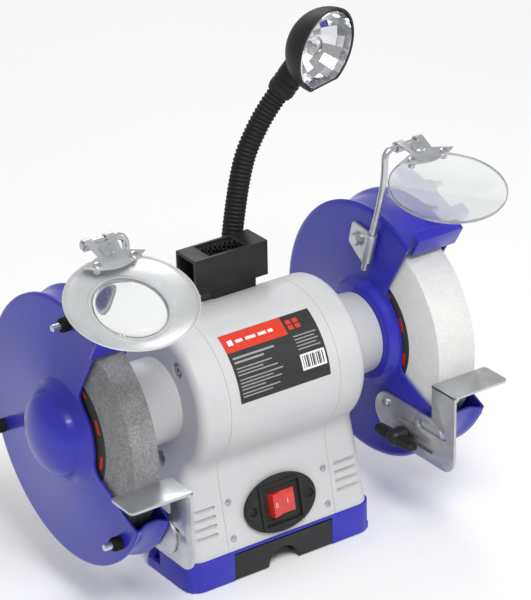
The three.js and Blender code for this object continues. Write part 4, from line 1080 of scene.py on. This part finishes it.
shieldRods = {"foot": (-8, 230), "knee": (-20, 268), "top": 347, "bend": 10, "reach": 31, "radius": 3}
shields = {"left": {"rod": 140, "y": -46, "tilt": 26}, "right": {"rod": 127, "y": -36, "tilt": 16}}
plate = {"halfTop": 14, "halfWide": 29, "depth": 33, "neck": 17, "low": 3.3, "high": 4.9,
         "spacers": (17, -27)}


def bezierPoints(a, b, c, d, count):
    points = []
    for i in range(1, count + 1):
        t = i / count
        s = 1 - t
        points.append(tuple(s ** 3 * p + 3 * s * s * t * q + 3 * s * t * t * r + t ** 3 * u
                            for p, q, r, u in zip(a, b, c, d)))
    return points


def shieldRod(side):
    s, r = shields[side["name"]], shieldRods
    (footY, footZ), (kneeY, kneeZ) = r["foot"], r["knee"]
    slope = (kneeY - footY) / (kneeZ - footZ)
    x, y, top, bend = s["rod"], s["y"], r["top"], r["bend"]
    points = [(x, footY - 4 * slope, footZ - 4), (x, footY + 10 * slope, footZ + 10), (x, kneeY, kneeZ)]
    start = (x, y, top - bend)
    points += bezierPoints(points[-1], (x, kneeY + 20 * slope, kneeZ + 20), (x, y, top - bend - 25),
                           start, 8)
    points += bezierPoints(start, (x, y, top - bend / 3), (x + bend / 3, y, top), (x + bend, y, top), 6)
    points += [(x + bend + 12, y, top), (x + bend + r["reach"], y, top)]
    bar = rod(side["name"] + "ShieldRod", points, r["radius"] - 0.02)
    finish(handed(bar, side["sign"]), brightSteel, side["name"] + "_rod", side["name"] + "_shield_rod")


def clampPiece(side):
    # bent clip with a rolled sleeve round the rod and a hexagon bolt through it
    face, sign = side["face"], side["sign"]
    outline = roundedLoop([(-12, 233, 2), (4, 231, 2), (20, 243, 4), (14, 264, 4), (-16, 260, 2)])
    clip = sheet(side["name"] + "ShieldClamp", [outline], sideOn, face - 3.3, face - 0.3, 0.35)
    rodLean = math.degrees(math.atan2(12, 38))
    tube = [(-15, 3.3), (-15, 4.6), (-14.6, 5), (14.6, 5), (15, 4.6), (15, 3.3)]
    sleeve = lathe("sleeve", tube, sides=40, closed=True)
    standing = turnX(rodLean) @ Matrix.Rotation(math.radians(90), 4, "Y")
    place(sleeve, shift(face - 6, -14, 249) @ standing)
    trim = block("trim", (face - 0.3, face + 20), (-60, 60), (200, 300))
    cut(sleeve, trim)
    fuse(clip, sleeve)
    smooth(handed(clip, sign), 30)
    finish(clip, zinc, "machine", side["name"] + "_shield_clamp")
    bolt = lathe("clampBolt", [(0, 0), (0, 7), (0.9, 7), (0.9, 5.9), (4.4, 5.9), (5, 5.1), (5, 0)], sides=6)
    washer = lathe("clampWasher", [(0, 0), (0, 7), (1, 7), (1, 0)], sides=40)
    fuse(washer, bolt)
    place(washer, shift(face - 3.3, 6.5, 249.5) @ halfTurn)
    washer.name = side["name"] + "ClampBolt"
    finish(smooth(handed(washer, sign), 25), brightSteel, "machine")


def shieldFrame(side):
    s = shields[side["name"]]
    x = side["sign"] * (s["rod"] + shieldRods["bend"] + shieldRods["reach"] / 2)
    return Matrix.Translation(Vector((x, s["y"], shieldRods["top"])) * mm) @ Matrix.Rotation(
        math.radians(s["tilt"]), 4, "X")


def hookPlate(side, body):
    # pressed hook plate: rolled ears on the rod, waist, and a wide foot with a hollow edge
    p = plate
    tip, curveEnd = -p["neck"] - 7, -2 * p["depth"] + p["neck"] + 7
    shares = [i / 16 for i in range(17)]
    hollow = [((2 * t - 1) * p["halfWide"], ((1 - t) ** 2 + t * t) * tip + 2 * t * (1 - t) * curveEnd)
              for t in shares]
    outline = [(-p["halfTop"], 0), (-p["halfTop"] + 3, -p["neck"])] + hollow
    outline += [(p["halfTop"] - 3, -p["neck"]), (p["halfTop"], 0)]
    piece = sheet(side["name"] + "ShieldBracket", [outline], flatOn, p["low"], p["high"], 0.25)
    for x0, x1 in ((-14, -6.5), (6.5, 14)):
        ear = lathe("ear", [(x0, 3.35), (x0, 4.9), (x1, 4.9), (x1, 3.35)], sides=32, closed=True)
        fuse(piece, ear)
    notch = sheet("notch", [squareLoop(6.4, 5, 1.5)], flatOn, 2, 7, 0.01)
    cut(piece, notch)
    for x in (-p["spacers"][0], p["spacers"][0]):
        post = lathe("post", [(-0.9, 0), (-0.9, 3), (3.4, 3), (3.4, 0)], sides=24)
        place(post, shift(x, p["spacers"][1]) @ xToZ)
        fuse(piece, post)
        dome = crossScrew("domeScrew", 4.2, 2.6)
        dome.name = side["name"] + "DomeScrew"
        finish(place(dome, shieldFrame(side) @ shift(x, p["spacers"][1], p["high"] - 0.1)), brightSteel,
               body)
    smooth(piece, 30)
    finish(place(piece, shieldFrame(side)), zinc, body, side["name"] + "_shield_bracket")
    head = lathe("flatScrew", [(0, 0), (0, 7), (1.2, 7), (1.9, 6.3), (1.9, 0)], sides=40)
    place(head, xToZ)
    slot = block("slot", (-8, 8), (-0.7, 0.7), (1.1, 4))
    cut(head, place(slot, Matrix.Rotation(math.radians(35), 4, "Z")))
    head.name = side["name"] + "FlatScrew"
    finish(place(smooth(head, 30), shieldFrame(side) @ shift(0, -12.5, p["high"] - 0.1)), brightSteel, body)


def clearShield(side):
    outline = [(u - 4, v - 62) for u, v in ovalLoop(53.5, 47, 96)]
    disc = sheet("clearEyeShield", [outline], flatOn, -4.2, -1.2, 0.7)
    # a darker band just inside the rim: painted shade for the dark edge lines of the clear sheet
    shadeBand = [[(u - 4, v - 62) for u, v in ovalLoop(*halves, 96)] for halves in ((53.4, 46.9), (52.2, 45.7))]
    rim = sheet("clearEyeShieldShadeRim", shadeBand, flatOn, -3.6, -1.6, 0.3)
    for part in (disc, rim):
        cut(part, block("trim", (-70, 70), (-16, 60), (-20, 20)))
        smooth(place(part, shieldFrame(side)), 35)
    finish(disc, clear, "eye_shield", "clear_eye_shield")
    finish(rim, rimShadeTint, "eye_shield")


def ovalLoft(name, levels, count=96, closed=True):
    # rings of (z, half x, half y) joined one to the next
    z0, halfX, halfY = levels[0]
    clearSelection()
    bpy.ops.mesh.primitive_circle_add(vertices=count, radius=1 * mm, location=(0, 0, z0 * mm))
    piece = bpy.context.object
    piece.name = name
    piece.scale = (halfX, halfY, 1)
    settle(piece)
    bpy.ops.object.mode_set(mode="EDIT")
    bpy.ops.mesh.select_all(action="SELECT")
    for z, nextX, nextY in list(levels[1:]) + ([levels[0]] if closed else []):
        bpy.ops.mesh.extrude_region_move(TRANSFORM_OT_translate={"value": (0, 0, (z - z0) * mm)})
        bpy.ops.transform.resize(value=(nextX / halfX, nextY / halfY, 1), center_override=(0, 0, z * mm))
        z0, halfX, halfY = z, nextX, nextY
    bpy.ops.object.mode_set(mode="OBJECT")
    return tidy(piece, 0.01)


def magnifier(side):
    # spun dish holding a thick lens
    rim, wideX, wideY = -1.2, 57.5, 49.5
    rings = [(-13.2, 31.1, 31.1), (-13.2, 33.4, 33.4), (-12.8, 33.8, 33.8), (-10.4, 34.6, 34.4)]
    for t in (0.2, 0.4, 0.6, 0.8, 0.94):
        sag = -1.6 * math.sin(math.pi * t)
        rings.append((-10.2 + (rim + 9) * t + sag * 0.5, 34.6 + (wideX - 34.6) * t,
                      34.4 + (wideY - 34.4) * t))
    rings += [(rim - 0.9, wideX - 0.2, wideY - 0.2), (rim - 0.3, wideX, wideY),
              (rim + 0.1, wideX - 0.5, wideY - 0.5),
              (rim - 0.1, wideX - 1.3, wideY - 1.3)]
    for t in (0.94, 0.8, 0.6, 0.4, 0.2):
        sag = -1.6 * math.sin(math.pi * t)
        rings.append((-8.6 + (rim + 7.6) * t + sag * 0.5, 34.2 + (wideX - 35.4) * t,
                      34 + (wideY - 35.2) * t))
    rings += [(-8.5, 34.2, 34), (-7.7, 33.6, 33.6), (-7.7, 31.6, 31.6), (-8.2, 31.1, 31.1)]
    dish = place(ovalLoft("magnifierFrame", rings), shift(-6, -64, 0))
    cut(dish, block("trim", (-70, 70), (-16, 60), (-40, 20)))
    finish(place(smooth(dish, 35), shieldFrame(side)), lacquer, "magnifier", "magnifier_frame")
    bow = [(30.8 * math.cos(math.radians(a)), 3.5 * math.sin(math.radians(a))) for a in range(-90, 91, 10)]
    levels = [(-10.7 + z, max(r, 0.01), max(r, 0.01)) for r, z in bow]
    lens = place(ovalLoft("magnifierLens", levels, 96, False), shift(-6, -64, 0))
    finish(place(smooth(lens, 40), shieldFrame(side)), lensGlass, "magnifier", "magnifier_lens")


for side in sides:
    shieldRod(side)
    clampPiece(side)
hookPlate(sides[0], "magnifier")
hookPlate(sides[1], "eye_shield")
magnifier(sides[0])
clearShield(sides[1])
asDrawn(enamel, 0.5, "left_spark_deflector", "right_spark_deflector")
print("shields made")


cutter = {"y": 37, "z": 257.4, "radius": 11.6, "root": 8.8, "teeth": 12, "from": -12.2, "to": 22.2,
          "discs": 9,
          "thick": 2.1}


def starCutters():
    # a row of star discs on their pin, each turned a little from the last
    stack = [lathe("cutterPin", [(-15.5, 0), (-15.5, 3), (25.5, 3), (25.5, 0)], sides=24)]
    stack.append(lathe("cutterHub", [(-12, 0), (-12, 5.5), (22, 5.5), (22, 0)], sides=32))
    pitch = (cutter["to"] - cutter["from"]) / cutter["discs"]
    for i in range(cutter["discs"]):
        star = []
        for k in range(2 * cutter["teeth"]):
            radius = cutter["radius"] if k % 2 else cutter["root"]
            angle = math.pi * k / cutter["teeth"] + 0.13 * i
            star.append((radius * math.cos(angle), radius * math.sin(angle)))
        x = cutter["from"] + (i + 0.5) * pitch
        stack.append(sheet("star", [star], sideOn, x - cutter["thick"] / 2, x + cutter["thick"] / 2, 0.15))
    rack = join("starCutters", *stack)
    finish(place(rack, shift(0, cutter["y"], cutter["z"])), toolBlack, "cutters", "star_cutters")


starCutters()
asDrawn(satinAbs, 0.9, "dresser_body")
asDrawn(blackPlastic, 0.9, "dresser_saddle")
asDrawn(groundSteel, 0.6, "left_inner_flange", "right_inner_flange", "left_outer_flange",
        "right_outer_flange")
asDrawn(zinc, 0.5, "left_spindle_nut", "right_spindle_nut")
asDrawn(groundSteel, 0.3, "shaft", "left_bearing", "right_bearing", "rotor")
asDrawn(copper, 0.6, "stator_core")
asDrawn(rubber, 0.8, "cable_gland")
print("dresser and running gear made")


lamp = {"x": 32, "y": 62.5, "socketTop": 208, "hose": 9.5, "pitch": 3.7, "split": 0.56,
        "route": ((32, 0), (36, 48.5), (50, 114), (63, 138.5), (76.2, 155.6), (90, 169.5)), "base": 211.2,
        "opening": (112.5, 25.5, 422), "facing": (0.28, -0.95, -0.12), "collar": (0.45, -0.35, 0.82),
        "radius": 38, "depth": 34, "flat": 33}


def hosePath(spacing):
    # even points along a centripetal Catmull-Rom curve through the route
    knots = [Vector((x, lamp["y"], lamp["base"] + rise)) for x, rise in lamp["route"]]
    ends = [knots[0] * 2 - knots[1]] + knots + [knots[-1] * 2 - knots[-2]]
    dense = []
    for i in range(len(knots) - 1):
        a, b, c, d = ends[i:i + 4]
        t0, t1 = 0, (b - a).length ** 0.5
        t2 = t1 + (c - b).length ** 0.5
        t3 = t2 + (d - c).length ** 0.5
        for k in range(60):
            t = t1 + (t2 - t1) * k / 60
            ab = a * ((t1 - t) / (t1 - t0)) + b * ((t - t0) / (t1 - t0))
            bc = b * ((t2 - t) / (t2 - t1)) + c * ((t - t1) / (t2 - t1))
            cd = c * ((t3 - t) / (t3 - t2)) + d * ((t - t2) / (t3 - t2))
            abc = ab * ((t2 - t) / (t2 - t0)) + bc * ((t - t0) / (t2 - t0))
            bcd = bc * ((t3 - t) / (t3 - t1)) + cd * ((t - t1) / (t3 - t1))
            dense.append(abc * ((t2 - t) / (t2 - t1)) + bcd * ((t - t1) / (t2 - t1)))
    dense.append(knots[-1])
    even, carried = [dense[0]], 0
    for first, second in zip(dense, dense[1:]):
        gap = (second - first).length
        while carried + gap >= spacing:
            first = first.lerp(second, (spacing - carried) / gap)
            gap = (second - first).length
            even.append(first.copy())
            carried = 0
        carried += gap
    return even


def ribbedHose(name, points, first):
    # ribs come from the swept radius rising and falling four points to the rib
    curve = bpy.data.curves.new(name, "CURVE")
    curve.dimensions = "3D"
    curve.bevel_depth = lamp["hose"] * mm
    curve.bevel_resolution = 12
    curve.use_fill_caps = True
    spline = curve.splines.new("POLY")
    spline.points.add(len(points) - 1)
    for i, (knot, point) in enumerate(zip(spline.points, points)):
        knot.co = (*(point * mm), 1)
        knot.radius = (0.88, 0.97, 1, 0.97)[(i + first) % 4]
    hose = bpy.data.objects.new(name, curve)
    bpy.context.collection.objects.link(hose)
    pick(hose)
    bpy.ops.object.convert(target="MESH")
    hose = smooth(tidy(bpy.context.object), 60)
    hose.data.materials.clear()
    hose.data.materials.append(hoseBlack)
    return hose


def lampHose():
    points = hosePath(lamp["pitch"] / 4)
    middle = min(range(len(points)), key=lambda i: (points[i] - Vector((54.5, 62.5, 311.5))).length)
    start = [Vector((lamp["x"], lamp["y"], lamp["socketTop"] - 3 + 0.93 * i)) for i in range(6)]
    lower = ribbedHose("gooseneckLower", start + points[:middle + 1], 0)
    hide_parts("gooseneck_lower")
    upper = ribbedHose("gooseneckUpper", points[middle:], (len(start) + middle) % 4)
    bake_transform(lower)
    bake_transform(upper)
    return points[-1]


def lampCollar(start):
    direction = Vector(lamp["collar"]).normalized()
    rings = [(-3, 0), (-3, 10.4), (-2.4, 11), (0, 11.4), (0.6, 12), (6, 12), (6.5, 11.2), (8.5, 11.2),
             (9, 12),
             (11, 12), (11.5, 11.2), (13.5, 11.2), (14, 12), (29.4, 12), (30, 11.4), (30, 0)]
    collar = lathe("lampCollar", rings, sides=48)
    turn = Vector((1, 0, 0)).rotation_difference(direction).to_matrix().to_4x4()
    place(collar, Matrix.Translation(start * mm) @ turn)
    bpy.ops.mesh.primitive_uv_sphere_add(segments=64, ring_count=32, radius=34.5 * mm,
                                         location=Vector(lamp["opening"]) * mm)
    cut(collar, bpy.context.object)
    finish(smooth(collar, 35), blackPlastic, "hose_upper", "gooseneck_upper")


def toHead(piece):
    # pieces turned about X with the opening at 0 and depth along +X, moved to the lamp head
    facing = Vector(lamp["facing"]).normalized()
    turn = Vector((0, -1, 0)).rotation_difference(facing).to_matrix().to_4x4()
    back = Matrix.Rotation(math.radians(90), 4, "Z")
    return place(piece, Matrix.Translation(Vector(lamp["opening"]) * mm) @ turn @ back)


def lampShade():
    radius, depth, flat = lamp["radius"], lamp["depth"], lamp["flat"]
    outside = [(0, radius - 1.4), (0.2, radius - 0.4)] + bowl(radius, depth)
    inside = [(x, r) for x, r in reversed(bowl(radius - 2, depth - 2))]
    shell = lathe("lampShade", outside + inside, sides=96, closed=True)
    cut(shell, block("below", (-5, 60), (-60, 60), (-70, -flat)))
    chord = math.sqrt(radius * radius - flat * flat)
    reach = depth * chord / radius
    flatOutline = [(0.3 + (reach - 0.3) * math.sin(math.radians(a)),
                    (chord - 0.6) * math.cos(math.radians(a)))
             for a in range(0, 181, 12)]
    flatWall = sheet("flatSide", [flatOutline], flatOn, -flat - 0.1, -flat + 1.6, 0.1)
    shell = join("lampShade", shell, flatWall)
    finish(toHead(smooth(shell, 40)), blackPlastic, "hose_upper", "lamp_shade")
    mirror = lathe("lampReflector", [(1, radius - 2.4)] + bowl(radius - 2.8, depth - 4, 7)[1:]
                   + [(x, r - 0.5) for x, r in reversed(bowl(radius - 3, depth - 4.6, 7))], sides=20,
                   closed=True)
    cut(mirror, block("below", (-5, 60), (-60, 60), (-70, -flat + 1.8)))
    shrunk = [(u * 0.96 + 0.4, v * 0.95) for u, v in flatOutline]
    shine = sheet("mirrorFloor", [shrunk], flatOn, -flat + 1.7, -flat + 2.1, 0.05)
    mirror = join("lampReflector", mirror, shine)
    finish(toHead(smooth(mirror, 5)), chrome, "hose_upper")
    holder = lathe("bulbHolder", [(31, 0), (31, 7), (24, 7), (23, 6), (23, 0)], sides=32)
    finish(toHead(smooth(holder, 30)), blackPlastic, "hose_upper")
    glass = [(23.6, 0), (23.6, 5.6), (20, 6.6), (16, 8.4), (12.6, 8.4), (10, 7), (8.6, 4.2), (8, 0)]
    bulb = lathe("lampBulb", glass, sides=48)
    finish(toHead(smooth(bulb, 60)), bulbGlass, "hose_upper", "lamp_bulb")
    wire = lathe("filament", [(14, 0.9), (14, 1.7), (18, 1.7), (18, 0.9)], sides=16, closed=True)
    finish(toHead(smooth(wire, 30)), brightSteel, "hose_upper")


def lampSocket():
    rings = [(171, 0), (171, 13), (204.6, 13), (205.4, 12.6), (207.6, 10.6), (208, 9.8), (208, 0)]
    socket = lathe("lampSocket", rings, sides=48)
    place(socket, shift(lamp["x"], lamp["y"]) @ xToZ)
    finish(smooth(socket, 30), blackPlastic, "machine", "lamp_socket")


lampSocket()
lampCollar(lampHose())
lampShade()
print("lamp made")


camera = {"azimuth": -34.27, "elevation": 25.89, "roll": -1.35, "distance": 2386.38,
          "target": (0.4, -3.71, 216.83),
          "lens": 168.291, "shift": (0.036983, 0.026033)}
lighting = {"key": (470, 0.9, (-0.5, -1.5, 2.2)), "fill": (90, 1.4, (1.9, -1.3, 1.2)),
            "rim": (170, 1.1, (0.9, 1.9, 1.9)),
            "sky": 0.5}


def aimed(position, target):
    return (Vector(target) - Vector(position)).to_track_quat("-Z", "Y")


def makeCamera():
    azimuth, elevation, roll = (math.radians(camera[key]) for key in ("azimuth", "elevation", "roll"))
    back = Vector((math.sin(azimuth) * math.cos(elevation), -math.cos(azimuth) * math.cos(elevation),
                   math.sin(elevation)))
    right = Vector((math.cos(azimuth), math.sin(azimuth), 0))
    up = back.cross(right)
    across = right * math.cos(roll) + up * math.sin(roll)
    upward = up * math.cos(roll) - right * math.sin(roll)
    data = bpy.data.cameras.new("camera")
    data.sensor_fit = "VERTICAL"
    data.sensor_width = data.sensor_height = 36
    data.lens = camera["lens"]
    data.shift_x, data.shift_y = camera["shift"]
    data.clip_end = 20
    eye = bpy.data.objects.new("camera", data)
    bpy.context.collection.objects.link(eye)
    turned = Matrix((across, upward, back)).transposed().to_4x4()
    seat = (Vector(camera["target"]) + back * camera["distance"]) * mm
    eye.matrix_world = Matrix.Translation(seat) @ turned
    bpy.context.scene.camera = eye


def softLight(name, power, size, position):
    data = bpy.data.lights.new(name, "AREA")
    data.energy, data.size = power * 0.1, size
    lamp = bpy.data.objects.new(name, data)
    bpy.context.collection.objects.link(lamp)
    lamp.location = position
    lamp.rotation_euler = aimed(position, (0, 0, 0.2)).to_euler()


def studioFloor():
    # pale matt backdrop paper
    bpy.ops.mesh.primitive_plane_add(size=12, location=(0, 0, -0.0006))
    floor = bpy.context.object
    floor.name = "studioFloor"
    material, tree, shader, coords = startMaterial("backdropPaper", "#F4F4F4", 0.85)
    fibre = noiseOn(tree, coords, 3)
    tint = ramp(tree, (fibre, "Fac"), 0.3, 0.7, "#F2F2F2", "#F6F6F6")
    tree.links.new(tint.outputs[0], shader.inputs["Base Color"])
    floor.data.materials.append(material)


def studioLight():
    for name in ("key", "fill", "rim"):
        softLight(name, *lighting[name])
    world = bpy.data.worlds.new("studio")
    bpy.context.scene.world = world
    world.use_nodes = True
    sky = world.node_tree.nodes["Background"]
    sky.inputs["Color"].default_value = (1, 1, 1, 1)
    sky.inputs["Strength"].default_value = lighting["sky"]
    bpy.context.scene.view_settings.view_transform = "Standard"


makeCamera()
studioFloor()
studioLight()
print("camera and lights set")

clearSelection()
